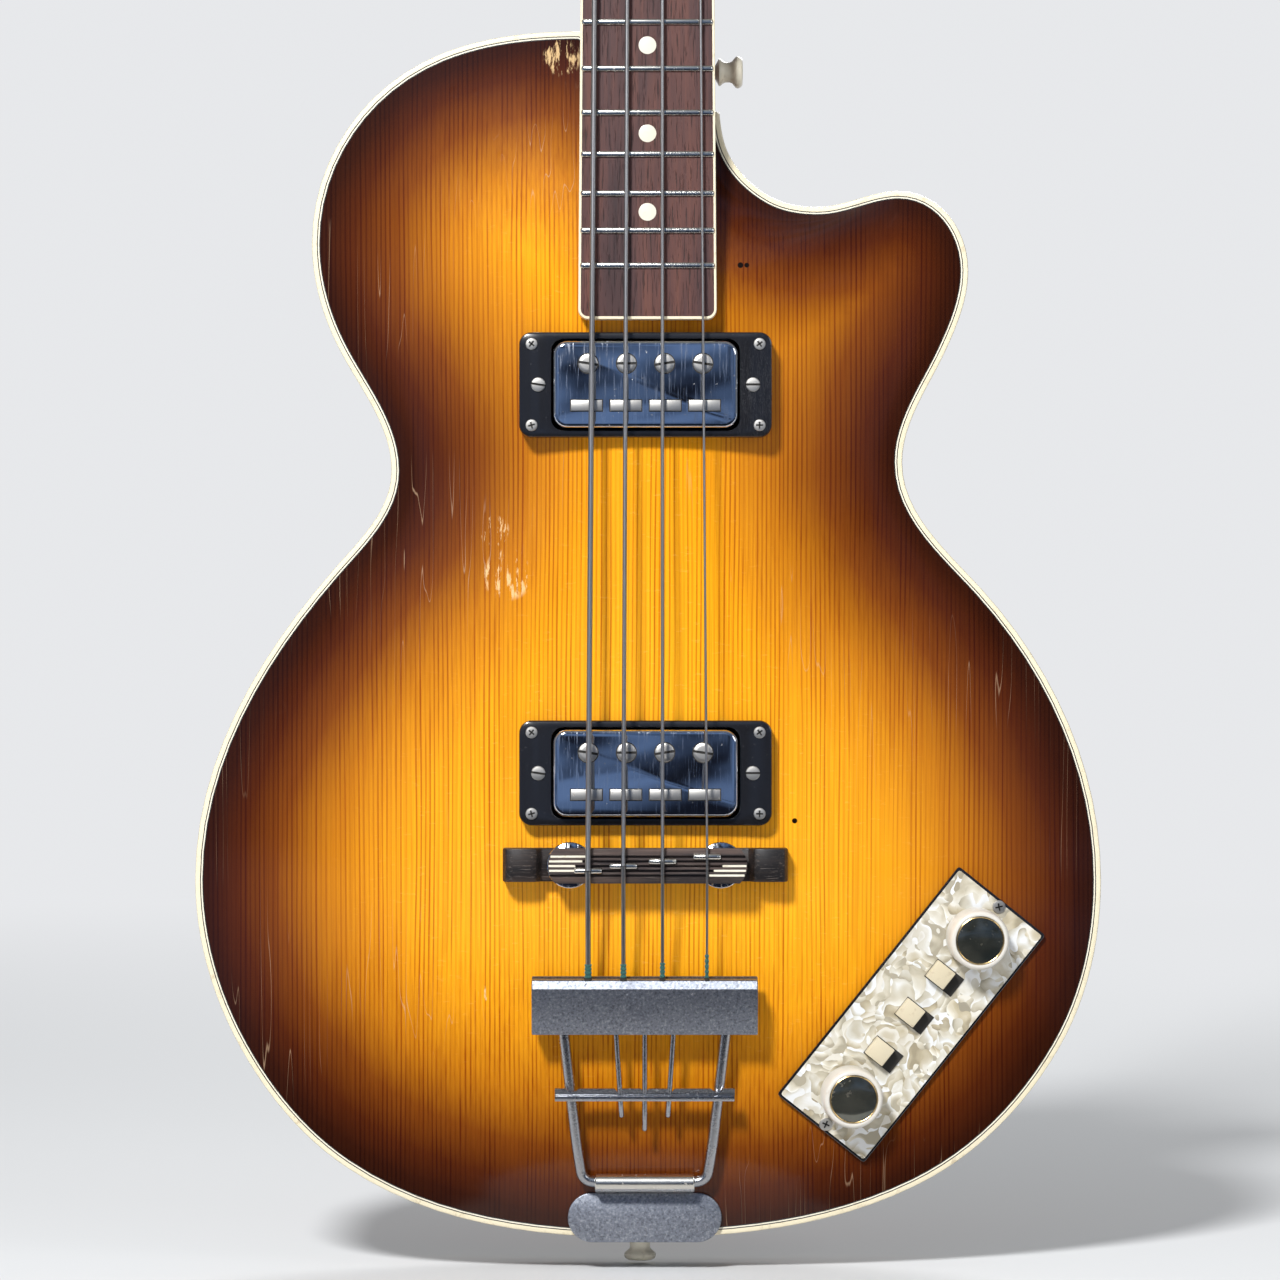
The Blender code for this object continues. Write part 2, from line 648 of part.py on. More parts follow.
def fingerboard(neck):
    """The board with its frets, and the binding along its edges and round its end."""
    wood = prism(board_outline(BOARD_BINDING + GAP / 2), -BOARD_THICK, 0)
    board = piece("fingerboard", wood, "rosewood", neck, smooth=False)
    for number in range(FRETS + 1):
        distance = fret_distance(number)
        half = board_width(distance) / 2 - BOARD_BINDING - 2 * GAP
        section = [(-FRET_WIDTH / 2, -FRET_SINK), (FRET_WIDTH / 2, -FRET_SINK), (FRET_WIDTH / 4, FRET_HEIGHT)]
        section.append((-FRET_WIDTH / 4, FRET_HEIGHT))
        ends = [[(x, -distance + y, z) for y, z in section] for x in (-half, half)]
        fret = cutter(f"fret_{number}", loft(ends), neck)
        boolean(board, fret, "UNION")
    outer = board_outline(0)
    inner = board_outline(BOARD_BINDING)
    sections = []
    for (ox, oy), (ix, iy) in list(zip(outer, inner))[1:] + [(outer[0], inner[0])]:
        sections.append([(ox, oy, -BOARD_THICK), (ox, oy, 0), (ix, iy, 0), (ix, iy, -BOARD_THICK)])
    piece("fingerboard_binding", loft(sections), "ivory", neck, smooth=False)
    half = board_width(-NUT_SETBACK) / 2
    nut_centre = (0, NUT_SETBACK + NUT_LENGTH / 2, (NUT_HEIGHT - BOARD_THICK) / 2)
    nut_bm = block((2 * half, NUT_LENGTH, NUT_HEIGHT + BOARD_THICK), nut_centre)
    nut = piece("nut", nut_bm, "ivory", neck, smooth=False)
    for string in STRINGS:
        radius = STRING_DIAMETER[string] / 2
        width = 2 * (radius + GAP)
        level = FRET_HEIGHT + 2 * radius + GAP
        depth = NUT_HEIGHT + 2 * MM
        centre = (NUT_X[string], NUT_SETBACK + NUT_LENGTH / 2, level - width + depth / 2 - GAP)
        slot = block((width, 3 * NUT_LENGTH, depth), centre)
        boolean(nut, cutter(f"nut_slot_{string}", slot, neck))


def neck_section(distance, half_left, half_right, depth):
    """A rounded D section of the neck's wood below the board."""
    face = -BOARD_THICK - GAP
    points = [(-half_left, -distance, face)]
    for step in range(7):
        angle = math.pi * (1 - step / 6)
        middle = (half_right - half_left) / 2
        half = (half_right + half_left) / 2
        x = middle + half * math.copysign(abs(math.cos(angle)) ** 0.7, math.cos(angle))
        points.append((x, -distance, face - NECK_EDGE - (depth - NECK_EDGE) * math.sin(angle) ** 0.8))
    points.append((half_right, -distance, face))
    return points


def neck_wood(front, neck, head, envelope):
    """Shaft, heel and headstock in one piece, with the rod's channel and the tuners' holes."""
    heel_depth = RIB_DEPTH + BOARD_AT_NUT - BOARD_THICK + SCALE * HEEL_LINE * math.sin(NECK_ANGLE)
    half = board_width(0) / 2
    sections = [neck_section(-NUT_SETBACK - NUT_LENGTH, half, half, NECK_DEPTH_NUT - BOARD_THICK)]
    sections.append(neck_section(NECK_START, half, half, NECK_DEPTH_NUT - BOARD_THICK))
    half = board_width(HEEL_START) / 2
    sections.append(neck_section(HEEL_START, half, half, NECK_DEPTH_HEEL - BOARD_THICK))
    for share, deep in HEEL_CURVE:
        distance = HEEL_START + (HEEL_FULL - HEEL_START) * share
        depth = NECK_DEPTH_HEEL + (heel_depth - NECK_DEPTH_HEEL) * deep
        sections.append(neck_section(distance, HEEL_BASS, HEEL_BASS, depth))
    sections.append(neck_section(HEEL_FULL + HEEL_TAPER, HEEL_BASS, HEEL_TREBLE, heel_depth + GAP))
    sections.append(neck_section(TONGUE_END, HEEL_BASS, HEEL_BASS, heel_depth + GAP))
    wood = piece("neck", loft(sections), "maple", neck)
    outline_right = [(x * MM, y * MM) for x, y in HEAD_OUTLINE]
    points = outline_right + [(-x, y) for x, y in outline_right[-2::-1]]
    slab = cutter("head_slab", prism(points, -FACING_THICK - GAP - HEAD_THICK, -FACING_THICK - GAP), head)
    boolean(wood, slab, "UNION")
    boolean(wood, envelope)
    length = ROD_LENGTH + ROD_POCKET
    centre = (0, ROD_END + ROD_POCKET / 2 - ROD_LENGTH / 2, -BOARD_THICK - ROD_CHANNEL / 2)
    channel = block((ROD_DIAMETER + 2 * GAP, length + 2 * GAP, ROD_CHANNEL), centre)
    boolean(wood, cutter("rod_channel", channel, neck))
    for string in STRINGS:
        x, y = POST_AT[string]
        hole = cylinder(POST_RADIUS + FIT, -2 * THROUGH, THROUGH)
        boolean(wood, cutter(f"post_hole_{string}", hole, head, (x * MM, y * MM, 0)))
    return wood


def headstock(neck, head):
    """The rod in the neck, the facing and the cover over the rod's end."""
    rod = cylinder(ROD_DIAMETER / 2, 0, ROD_LENGTH, 10)
    at = (0, ROD_END, -BOARD_THICK - ROD_CHANNEL / 2)
    piece("truss_rod", rod, "steel", neck, at, (math.radians(90), 0, 0))
    start = FACING_START
    points = [(FACING_HALF, start / MM)] + [(x, y) for x, y in HEAD_OUTLINE[1:] if y > start / MM]
    right = [(x * MM, y * MM) for x, y in points]
    whole = right + [(-x, y) for x, y in right[-2::-1]]
    facing = piece("headstock_facing", prism(whole, -FACING_THICK, 0), "black_plastic", head, smooth=False)
    for string in STRINGS:
        x, y = POST_AT[string]
        hole = cylinder(POST_RADIUS + FIT, -THROUGH, THROUGH)
        boolean(facing, cutter(f"facing_hole_{string}", hole, head, (x * MM, y * MM, 0)))
    pocket = block(POCKET_SIZE, (0, start + 6 * MM, -2 * MM))
    boolean(facing, cutter("rod_pocket", pocket, head))
    shape = [(x * MM, start + y * MM) for x, y in COVER_OUTLINE]
    shape += [(-x, y) for x, y in shape[-2::-1]]
    piece("truss_rod_cover", prism(shape, GAP, ROD_COVER_THICK), "black_plastic", head, smooth=False)


def gear_blank():
    """A wheel of slim straight teeth about Z."""
    points = []
    pitch = math.tau / GEAR_TEETH
    root = GEAR_PITCH_RADIUS - TOOTH_HALF_HEIGHT
    tip = GEAR_PITCH_RADIUS + TOOTH_HALF_HEIGHT
    for tooth in range(GEAR_TEETH):
        for share, radius in ((-0.24, root), (-0.09, tip), (0.09, tip), (0.24, root)):
            angle = pitch * (tooth + share)
            points.append((radius * math.cos(angle), radius * math.sin(angle)))
    return prism(points, -GEAR_THICK / 2, GEAR_THICK / 2)


def worm_thread(lead):
    """The worm's one thread about Z, sunk a little into its core."""
    sections = []
    count = WORM_TURNS * WORM_STEPS
    root = WORM_PITCH_RADIUS - TOOTH_HALF_HEIGHT - 0.3 * MM
    tip = WORM_PITCH_RADIUS + TOOTH_HALF_HEIGHT - 0.3 * MM
    for step in range(count + 1):
        turn = math.tau * step / WORM_STEPS
        rise_z = lead * (step / WORM_STEPS - WORM_TURNS / 2)
        section = []
        for radius, offset in ((root, -0.6 * MM), (tip, -0.25 * MM), (tip, 0.25 * MM), (root, 0.6 * MM)):
            section.append((radius * math.cos(turn), radius * math.sin(turn), rise_z + offset))
        sections.append(section)
    return loft(sections)


def tuners(head):
    """Four worm machines: a strip on each side carries two keys and two posts."""
    back = -FACING_THICK - 2 * GAP - HEAD_THICK
    strip_face = back - TUNER_PLATE_THICK
    gear_level = strip_face - GAP - WORM_PITCH_RADIUS - TOOTH_HALF_HEIGHT
    lead = math.tau * GEAR_PITCH_RADIUS / GEAR_TEETH
    centre_distance = GEAR_PITCH_RADIUS + WORM_PITCH_RADIUS
    for name, side, pair in (("tuner_plate_bass", -1, ("e", "a")), ("tuner_plate_treble", 1, ("g", "d"))):
        low = POST_AT[pair[0]][1] * MM - TUNER_PLATE_PAST[0]
        high = POST_AT[pair[1]][1] * MM + TUNER_PLATE_PAST[1]
        centre = (side * TUNER_PLATE_X, (low + high) / 2, back - TUNER_PLATE_THICK / 2)
        strip_bm = block((TUNER_PLATE_WIDTH, high - low, TUNER_PLATE_THICK), centre)
        strip = piece(name, strip_bm, "nickel", head, smooth=False)
        for string in pair:
            x, y = (value * MM for value in POST_AT[string])
            hole = cylinder(POST_RADIUS + FIT, -2 * THROUGH, THROUGH)
            boolean(strip, cutter(f"strip_hole_{string}", hole, head, (x, y, 0)))
            for reach in (-LUG_REACH, LUG_REACH):
                depth = strip_face - gear_level + LUG_BELOW
                centre = (x + reach, y - centre_distance, strip_face - depth / 2 + GAP)
                lug_bm = block((LUG_THICK, LUG_LENGTH, depth), centre)
                boolean(strip, cutter(f"lug_{string}_{reach > 0}", lug_bm, head), "UNION")
            shaft_hole = cylinder(SHAFT_RADIUS + FIT, -THROUGH / 2, THROUGH / 2, 12)
            at = (x, y - centre_distance, gear_level)
            boolean(strip, cutter(f"lug_bore_{string}", shaft_hole, head, at, (0, math.radians(90), 0)))
    for string in STRINGS:
        x, y = (value * MM for value in POST_AT[string])
        side = math.copysign(1, x)
        axis = empty(f"post_axis_{string}", head, (x, y, gear_level), (0, 0, math.radians(-90)))
        gear = piece(f"tuner_post_{string}", gear_blank(), "nickel", axis)
        rod_low = GEAR_THICK / 2 - 0.4 * MM
        rod = cylinder(POST_RADIUS, rod_low, POST_HEIGHT - gear_level)
        boolean(gear, cutter(f"post_rod_{string}", rod, axis), "UNION")
        turn = math.radians(90 * side)
        key_axis = empty(f"key_axis_{string}", head, (x, y - centre_distance, gear_level), (0, turn, 0))
        core = cylinder(WORM_PITCH_RADIUS - TOOTH_HALF_HEIGHT, -WORM_HALF, WORM_HALF, 8)
        key = piece(f"tuner_key_{string}", core, "nickel", key_axis)
        thread = cutter(f"worm_thread_{string}", worm_thread(lead), key_axis, turn=(0, 0, math.radians(-90)))
        boolean(key, thread, "UNION")
        shaft = cylinder(SHAFT_RADIUS, -KEY_SHAFT_END, KEY_REACH + 1 * MM, 8)
        boolean(key, cutter(f"key_shaft_{string}", shaft, key_axis), "UNION")
        paddle = bmesh.new()
        bmesh.ops.create_uvsphere(paddle, u_segments=8, v_segments=6, radius=1)
        size = Matrix.Diagonal((KEY_THICK / 2, KEY_WIDTH / 2, KEY_LENGTH / 2, 1))
        moved(paddle, Matrix.Translation((0, 0, KEY_REACH + KEY_LENGTH / 2 - 1 * MM)) @ size)
        boolean(key, cutter(f"key_button_{string}", paddle, key_axis), "UNION")


def local_to(frame, point):
    """A point of a frame's axes in the world."""
    bpy.context.view_layer.update()
    return frame.matrix_world @ Vector(point)


def strings(front, neck, head, tail):
    """Each string from its ball in the tailpiece over saddle, zero fret and nut, and round its post."""
    bpy.context.view_layer.update()
    to_front = front.matrix_world.inverted()
    for string in STRINGS:
        radius = STRING_DIAMETER[string] / 2
        x, y = (value * MM for value in POST_AT[string])
        side = math.copysign(1, x)
        ball = to_front @ local_to(tail, (SADDLE_X[string] - TAIL_X, BAR_AT + BAR_SIZE[1] - BALL_INSET, 0))
        saddle = Vector((SADDLE_X[string], saddle_line(string), SADDLE_TOP + radius + 0.1 * MM))
        zero = to_front @ local_to(neck, (NUT_X[string], 0, FRET_HEIGHT + radius + 0.15 * MM))
        nut = to_front @ local_to(neck, (NUT_X[string], NUT_SETBACK + NUT_LENGTH, FRET_HEIGHT + radius))
        coil = POST_RADIUS + GAP + radius
        pitch = 2 * radius + WRAP_GAP
        wraps = []
        start = 180 if side > 0 else 0
        for step in range(round(WRAPS * WRAP_STEPS) + 1):
            angle = math.radians(start) - side * math.tau * step / WRAP_STEPS
            drop = WRAP_LEVEL - pitch * step / WRAP_STEPS
            place = (x + coil * math.cos(angle), y + coil * math.sin(angle), drop)
            wraps.append(to_front @ local_to(head, place))
        behind = saddle + (ball - saddle).normalized() * STRING_BEND
        ahead = saddle + (zero - saddle).normalized() * STRING_BEND
        points = [ball, behind, saddle, ahead, zero, nut, *wraps]
        curve = bpy.data.curves.new(f"string_{string}", "CURVE")
        curve.dimensions = "3D"
        curve.bevel_depth = radius
        curve.bevel_resolution = 1
        curve.use_fill_caps = True
        spline = curve.splines.new("POLY")
        spline.points.add(len(points) - 1)
        for slot, point in zip(spline.points, points):
            slot.co = (*point, 1)
        curve.materials.append(finish("nickel"))
        made = bpy.data.objects.new(f"string_{string}", curve)
        made.parent = front
        bpy.context.collection.objects.link(made)
        print(f"string_{string}: least gap between turns {WRAP_GAP / MM:.2f} mm")


def pickup(name, front, top, envelope):
    """Ring with its height screws, cover, and the core that the cover hides."""
    at = (PICKUP_X, PICKUP_Y[name], TOP_ARCH)
    frame = empty(f"{name}_pickup_frame", front, at)
    well_size = (COVER_SIZE[0] + 2 * COVER_FIT, COVER_SIZE[1] + 2 * COVER_FIT)
    well = cutter(f"{name}_well", block((*well_size, 2 * THROUGH)), frame)
    ears = block((2 * HEIGHT_SCREW_X + EAR_WIDTH, EAR_WIDTH + 2 * MM, 2 * THROUGH))
    boolean(top, well)
    boolean(top, cutter(f"{name}_ears", ears, frame))
    ring = piece(
        f"{name}_pickup_ring",
        prism(rounded(*RING_SIZE, RING_CORNER), -RING_SINK, RING_STANDS),
        "black_plastic",
        frame,
        smooth=False,
    )
    hole = prism(rounded(*well_size, COVER_CORNER, 3), -THROUGH, THROUGH)
    boolean(ring, envelope)
    boolean(ring, cutter(f"{name}_ring_hole", hole, frame))
    tip, under, crown = -HEIGHT_SCREW_LENGTH, RING_STANDS - 1 * MM, RING_STANDS + 0.4 * MM
    for side in (-1, 1):
        profile = [(0, tip), (HEIGHT_SCREW_RADIUS, tip), (HEIGHT_SCREW_RADIUS, under)]
        profile += [(HEIGHT_SCREW_HEAD, under), (HEIGHT_SCREW_HEAD, crown), (0, crown)]
        at = (side * HEIGHT_SCREW_X, 0, 0)
        boolean(ring, cutter(f"{name}_height_screw_{side}", turned(profile, 10), frame, at), "UNION")
    lid = RING_STANDS + COVER_STANDS[name]
    cover_bm = prism(rounded(*COVER_SIZE, COVER_CORNER), lid - COVER_DEPTH, lid)
    cover = piece(f"{name}_pickup_cover", cover_bm, "chrome", frame)
    inner_size = (COVER_SIZE[0] - 2 * COVER_WALL, COVER_SIZE[1] - 2 * COVER_WALL)
    inside = rounded(*inner_size, COVER_CORNER - COVER_WALL)
    boolean(cover, cutter(f"{name}_cover_inside", prism(inside, -THROUGH, lid - COVER_WALL), frame))
    bobbin = (inner_size[0] - 2 * GAP, inner_size[1] - 2 * GAP)
    low = lid - COVER_DEPTH
    high = lid - COVER_WALL - GAP
    core_bm = prism(rounded(*bobbin, COVER_CORNER - COVER_WALL, 2), low, high)
    core = piece(f"{name}_pickup_core", core_bm, "black_plastic", frame, smooth=False)
    plate_width = 2 * HEIGHT_SCREW_X + EAR_WIDTH - 2 * MM
    carrier = block((plate_width, EAR_WIDTH, CARRIER_THICK), (0, 0, low - GAP - CARRIER_THICK / 2))
    boolean(core, cutter(f"{name}_carrier", carrier, frame), "UNION")
    neck_of_core = block((CARRIER_NECK, EAR_WIDTH, 2 * MM), (0, 0, low))
    boolean(core, cutter(f"{name}_core_neck", neck_of_core, frame), "UNION")
    for side in (-1, 1):
        passage = cylinder(HEIGHT_SCREW_RADIUS + FIT, low - 5 * MM, low + 5 * MM, 10)
        boolean(core, cutter(f"{name}_ear_hole_{side}", passage, frame, (side * HEIGHT_SCREW_X, 0, 0)))
    for i in range(4):
        x = (i - 1.5) * POLE_PITCH
        pole_hole = cylinder(POLE_RADIUS + GAP, high - 1 * MM, lid + 2 * MM, 12)
        boolean(cover, cutter(f"{name}_pole_hole_{i}", pole_hole, frame, (x, POLE_ROW, 0)))
        pole = cylinder(POLE_RADIUS, high - 1 * MM, lid + POLE_STANDS, 12)
        boolean(core, cutter(f"{name}_pole_{i}", pole, frame, (x, POLE_ROW, 0)), "UNION")
        x = (i - 1.5) * BLADE_PITCH
        depth = lid + POLE_STANDS - high + 1 * MM
        centre = (x, BLADE_ROW, high - 1 * MM + depth / 2)
        blade_hole = block((BLADE_SIZE[0] + 2 * GAP, BLADE_SIZE[1] + 2 * GAP, depth + 2 * MM), centre)
        boolean(cover, cutter(f"{name}_blade_hole_{i}", blade_hole, frame))
        boolean(core, cutter(f"{name}_blade_{i}", block((*BLADE_SIZE, depth), centre), frame), "UNION")


def slot_line(number):
    """Place along the body of a slot in the bridge's top, counted from the neck side."""
    return BRIDGE_Y + (SLOTS / 2 - 0.5 - number) * SLOT_PITCH


def saddle_line(string):
    """Each string sits one slot further from the neck than its thinner neighbour."""
    return slot_line(STRINGS[::-1].index(string))


def bridge(front, envelope):
    """Base with two studs, two wheels, the slotted top and its four saddles."""
    frame = empty("bridge_frame", front, (BRIDGE_X, BRIDGE_Y, TOP_ARCH))
    width, length = BASE_SIZE
    half = width / 2
    end = half - BASE_END_LENGTH
    slope = BASE_END_SLOPE
    right = [(half, -BASE_SINK), (half, BASE_TIP_STANDS), (half - slope, BASE_END_STANDS)]
    right += [(end + slope, BASE_END_STANDS), (end, BASE_MIDDLE_STANDS)]
    points = [(-half, -BASE_SINK)] + right + [(-x, z) for x, z in right[:0:-1]]
    turn_up = Matrix.Rotation(math.radians(90), 4, "X")
    base_bm = moved(prism(points, -length / 2, length / 2), turn_up)
    base = piece("bridge_base", base_bm, "ebony", frame, smooth=False)
    boolean(base, envelope)
    top_face = SADDLE_TOP - SADDLE_HEIGHT - TOP_ARCH
    underside = top_face - BRIDGE_TOP_THICK
    for side in (-1, 1):
        stud = cylinder(STUD_RADIUS, BASE_MIDDLE_STANDS - 2 * MM, top_face - 1.2 * MM, 12)
        boolean(base, cutter(f"stud_{side}", stud, frame, (side * WHEEL_X, 0, 0)), "UNION")
    mover = empty("bridge_height_axis", frame)
    tail_edge = -BRIDGE_TOP_SIZE[1] / 2
    last_slot = slot_line(SLOTS - 1) - BRIDGE_Y - SLOT_WIDTH / 2 - GAP
    points = [(tail_edge, underside), (-tail_edge, underside), (-tail_edge, top_face), (last_slot, top_face)]
    points.append((tail_edge, top_face - BRIDGE_TOP_CHAMFER))
    half_top = BRIDGE_TOP_SIZE[0] / 2
    deck = loft([[(x - BRIDGE_X, y, z) for y, z in points] for x in (-half_top, half_top)])
    top = piece("bridge_top", deck, "ebony", mover, smooth=False)
    for number in range(SLOTS):
        y = slot_line(number) - BRIDGE_Y
        groove = block((BRIDGE_TOP_SIZE[0] + 4 * MM, SLOT_WIDTH, 2 * SLOT_DEPTH), (-BRIDGE_X, y, top_face))
        boolean(top, cutter(f"saddle_slot_{number}", groove, mover))
    for side, word in ((-1, "bass"), (1, "treble")):
        stud_hole = cylinder(STUD_RADIUS + FIT, underside - 5 * MM, top_face + 5 * MM, 12)
        boolean(top, cutter(f"stud_hole_{word}", stud_hole, mover, (side * WHEEL_X, 0, 0)))
        axis = empty(f"thumbwheel_axis_{word}", mover, (side * WHEEL_X, 0, 0))
        wheel_top = underside - GAP
        wheel = tube_wall(WHEEL_RADIUS, STUD_RADIUS + FIT, wheel_top - WHEEL_THICK, wheel_top, FINE)
        piece(f"thumbwheel_{word}", wheel, "chrome", axis)
    for string in STRINGS:
        y = saddle_line(string) - BRIDGE_Y
        tang_low = top_face - SLOT_DEPTH + GAP
        tang_half = SLOT_WIDTH / 2 - 0.2 * MM
        crown = SADDLE_CROWN / 2
        points = [(-tang_half, tang_low), (tang_half, tang_low)]
        points += [(tang_half, top_face + GAP), (crown, top_face + GAP)]
        points += [(crown * 0.55, top_face + SADDLE_HEIGHT), (-crown * 0.55, top_face + SADDLE_HEIGHT)]
        points += [(-crown, top_face + GAP), (-tang_half, top_face + GAP)]
        x = SADDLE_X[string] - BRIDGE_X
        left, right = x - SADDLE_LENGTH / 2, x + SADDLE_LENGTH / 2
        ends = [[(end_x, y + py, pz) for py, pz in points] for end_x in (left, right)]
        piece(f"saddle_{string}", loft(ends), "nickel", mover, smooth=False)


def tube_through(points, radius, sides=8):
    """A round bar along a path of points in one plane x-y, with flat ends."""
    sections = []
    count = len(points)
    for i, point in enumerate(points):
        here = Vector(point)
        before = (here - Vector(points[max(i - 1, 0)])).normalized() if i else None
        after = (Vector(points[min(i + 1, count - 1)]) - here).normalized() if i < count - 1 else None
        along = ((before or after) + (after or before)).normalized()
        side = Vector((0, 0, 1)).cross(along)
        stretch = 1 / max(0.6, abs(along.dot(after or before)))
        ring = []
        for step in range(sides):
            angle = math.tau * step / sides
            up = Vector((0, 0, radius * math.sin(angle)))
            ring.append(here + side * (radius * stretch * math.cos(angle)) + up)
        sections.append(ring)
    return loft(sections)


def tailpiece(front, tail, envelope):
    """The bar, its wire frame with the hinge barrel, the brace with three rods, and the hinge plate."""
    width, depth, height = BAR_SIZE
    wall = BAR_WALL
    near = BAR_AT
    far = BAR_AT + depth
    high = height / 2
    lip = high - BAR_LIP - wall
    section = [(near, -high), (near, high), (far, high), (far, lip), (far - wall, lip)]
    section += [(far - wall, high - wall), (near + wall, high - wall), (near + wall, wall - high)]
    section += [(far, wall - high), (far, -high)]
    ends = [[(x, y, z) for y, z in section] for x in (-width / 2, width / 2)]
    bar = piece("tailpiece_bar", loft(ends), "nickel", tail, smooth=False)
    for string in STRINGS:
        centre = (SADDLE_X[string] - TAIL_X, far + depth - 4 * MM, 0)
        notch = block((STRING_DIAMETER[string] + BAR_NOTCH_EXTRA, 2 * depth, BAR_NOTCH_HEIGHT), centre)
        boolean(bar, cutter(f"bar_notch_{string}", notch, tail))
    reach = BAR_AT - GAP
    left = [(-FRAME_TOP_HALF, reach)] + [(-x * MM, y * MM) for x, y in FRAME_BENDS]
    path = [(x, y, 0) for x, y in left] + [(-x, y, 0) for x, y in left[::-1]]
    frame = piece("tailpiece_frame", tube_through(path, WIRE_RADIUS), "nickel", tail)
    barrel = cylinder(HINGE_RADIUS, -HINGE_WIDTH / 2, HINGE_WIDTH / 2, 12)
    boolean(frame, cutter("hinge_barrel", barrel, tail, turn=(0, math.radians(90), 0)), "UNION")
    level = WIRE_RADIUS + GAP
    low_y, high_y = BRACE_AT - BRACE_SIZE[1] / 2, BRACE_AT + BRACE_SIZE[1] / 2
    flange_top, foot_top = level + BRACE_SIZE[2], level + BRACE_FLANGE
    angle = [(low_y, level), (high_y, level), (high_y, flange_top), (high_y - BRACE_FLANGE, flange_top)]
    angle += [(high_y - BRACE_FLANGE, foot_top), (low_y, foot_top)]
    ends = [[(x, y, z) for y, z in angle] for x in (-BRACE_SIZE[0] / 2, BRACE_SIZE[0] / 2)]
    brace = piece("tailpiece_brace", loft(ends), "nickel", tail, smooth=False)
    for i, (high_x, low_x, low_y) in enumerate(BRACE_RODS):
        rod = tube_through([(high_x * MM, reach, 0), (low_x * MM, low_y * MM, 0)], ROD_RADIUS, 6)
        moved(rod, Matrix.Translation((0, 0, level + 0.4 * MM)))
        boolean(brace, cutter(f"brace_rod_{i}", rod, tail), "UNION")
    leaf_low = BODY_END - GAP - LEAF_THICK
    half = LEAF_WIDTH / 2
    centre = (TAIL_X, HINGE_Y - HINGE_RADIUS - 2 * GAP - HINGE_PLATE[1] / 2)
    shape = rounded(*HINGE_PLATE, HINGE_PLATE[1] / 2 - 0.1 * MM, 4, centre)
    leaf = piece("tailpiece_hinge_plate", prism(shape, -1 * MM, LEAF_STANDS), "nickel", front, smooth=False)
    boolean(leaf, envelope)
    centre = (TAIL_X, leaf_low + LEAF_THICK / 2, (LEAF_STANDS - LEAF_DROP) / 2)
    lip = block((2 * half, LEAF_THICK, LEAF_DROP + LEAF_STANDS), centre)
    boolean(leaf, cutter("hinge_lip", lip, front), "UNION")
    return leaf


def strap_button(name, look, parent, at, turn):
    """A mushroom button and its screw, standing on its foot along Z."""
    tip, end = -BUTTON_STEM_LENGTH, BUTTON_LENGTH
    profile = [(0, tip), (BUTTON_STEM, tip), (BUTTON_STEM, 0), (BUTTON_FOOT, 0)]
    profile += [(BUTTON_NECK, 1.5 * MM), (BUTTON_NECK, end - 4 * MM), (BUTTON_FLANGE, end - 2.6 * MM)]
    profile += [(BUTTON_FLANGE, end - 1 * MM), (BUTTON_FLANGE - 1.2 * MM, end), (0, end)]
    return piece(name, turned(profile, ROUND), look, parent, at, turn)


def stem_hole(name, parent, at, turn):
    depth = BUTTON_STEM_LENGTH + 2 * GAP
    return cutter(name, cylinder(BUTTON_STEM + FIT, -depth, 4 * MM, 12), parent, at, turn)


def strap_buttons(front, leaf, sides, tail_block, wood):
    level = -RIB_DEPTH / 2
    foot = BODY_END - LEAF_THICK - 2 * GAP
    at = (BUTTON_X, foot, level)
    turn = (math.radians(90), 0, 0)
    strap_button("tail_strap_button", "cream_plastic", front, at, turn)
    hole = stem_hole("tail_stem_hole", front, at, turn)
    for target in (leaf, sides, tail_block):
        boolean(target, hole)
    at = (HEEL_TREBLE + GAP, HEEL_BUTTON_Y, level + 4 * MM)
    turn = (0, math.radians(90), 0)
    strap_button("heel_strap_button", "cream_plastic", front, at, turn)
    boolean(wood, stem_hole("heel_stem_hole", front, at, turn))


def on_plate(u, v):
    """Plan place of a point of the control plate."""
    x = PLATE_AT[0] + u * math.sin(PLATE_LEAN) + v * math.cos(PLATE_LEAN)
    y = PLATE_AT[1] + u * math.cos(PLATE_LEAN) - v * math.sin(PLATE_LEAN)
    return x, y


def control_plate(front, envelope):
    """An oblong plate bent to the arch of the top."""
    shape = rounded(PLATE_SIZE[1], PLATE_SIZE[0], PLATE_CORNER, 1)
    bm = prism(shape, -1 * MM, 0)
    cuts = [(Vector((0, 1, 0)), step) for step in range(-4, 5)]
    cuts += [(Vector((1, 0, 0)), step) for step in (-1, 0, 1)]
    for axis, step in cuts:
        geometry = bm.verts[:] + bm.edges[:] + bm.faces[:]
        bmesh.ops.bisect_plane(bm, geom=geometry, plane_co=axis * (step * PLATE_CUT), plane_no=axis)
    for vert in bm.verts:
        x, y = on_plate(vert.co.y, vert.co.x)
        base = arch_height(x, y) + GAP + PANEL_THICK
        vert.co = (x, y, base if vert.co.z > -0.5 * MM else base - PANEL_THICK - 1 * MM)
    made = piece("control_plate", bm, "pearl", front, smooth=False)
    boolean(made, envelope)
    return made


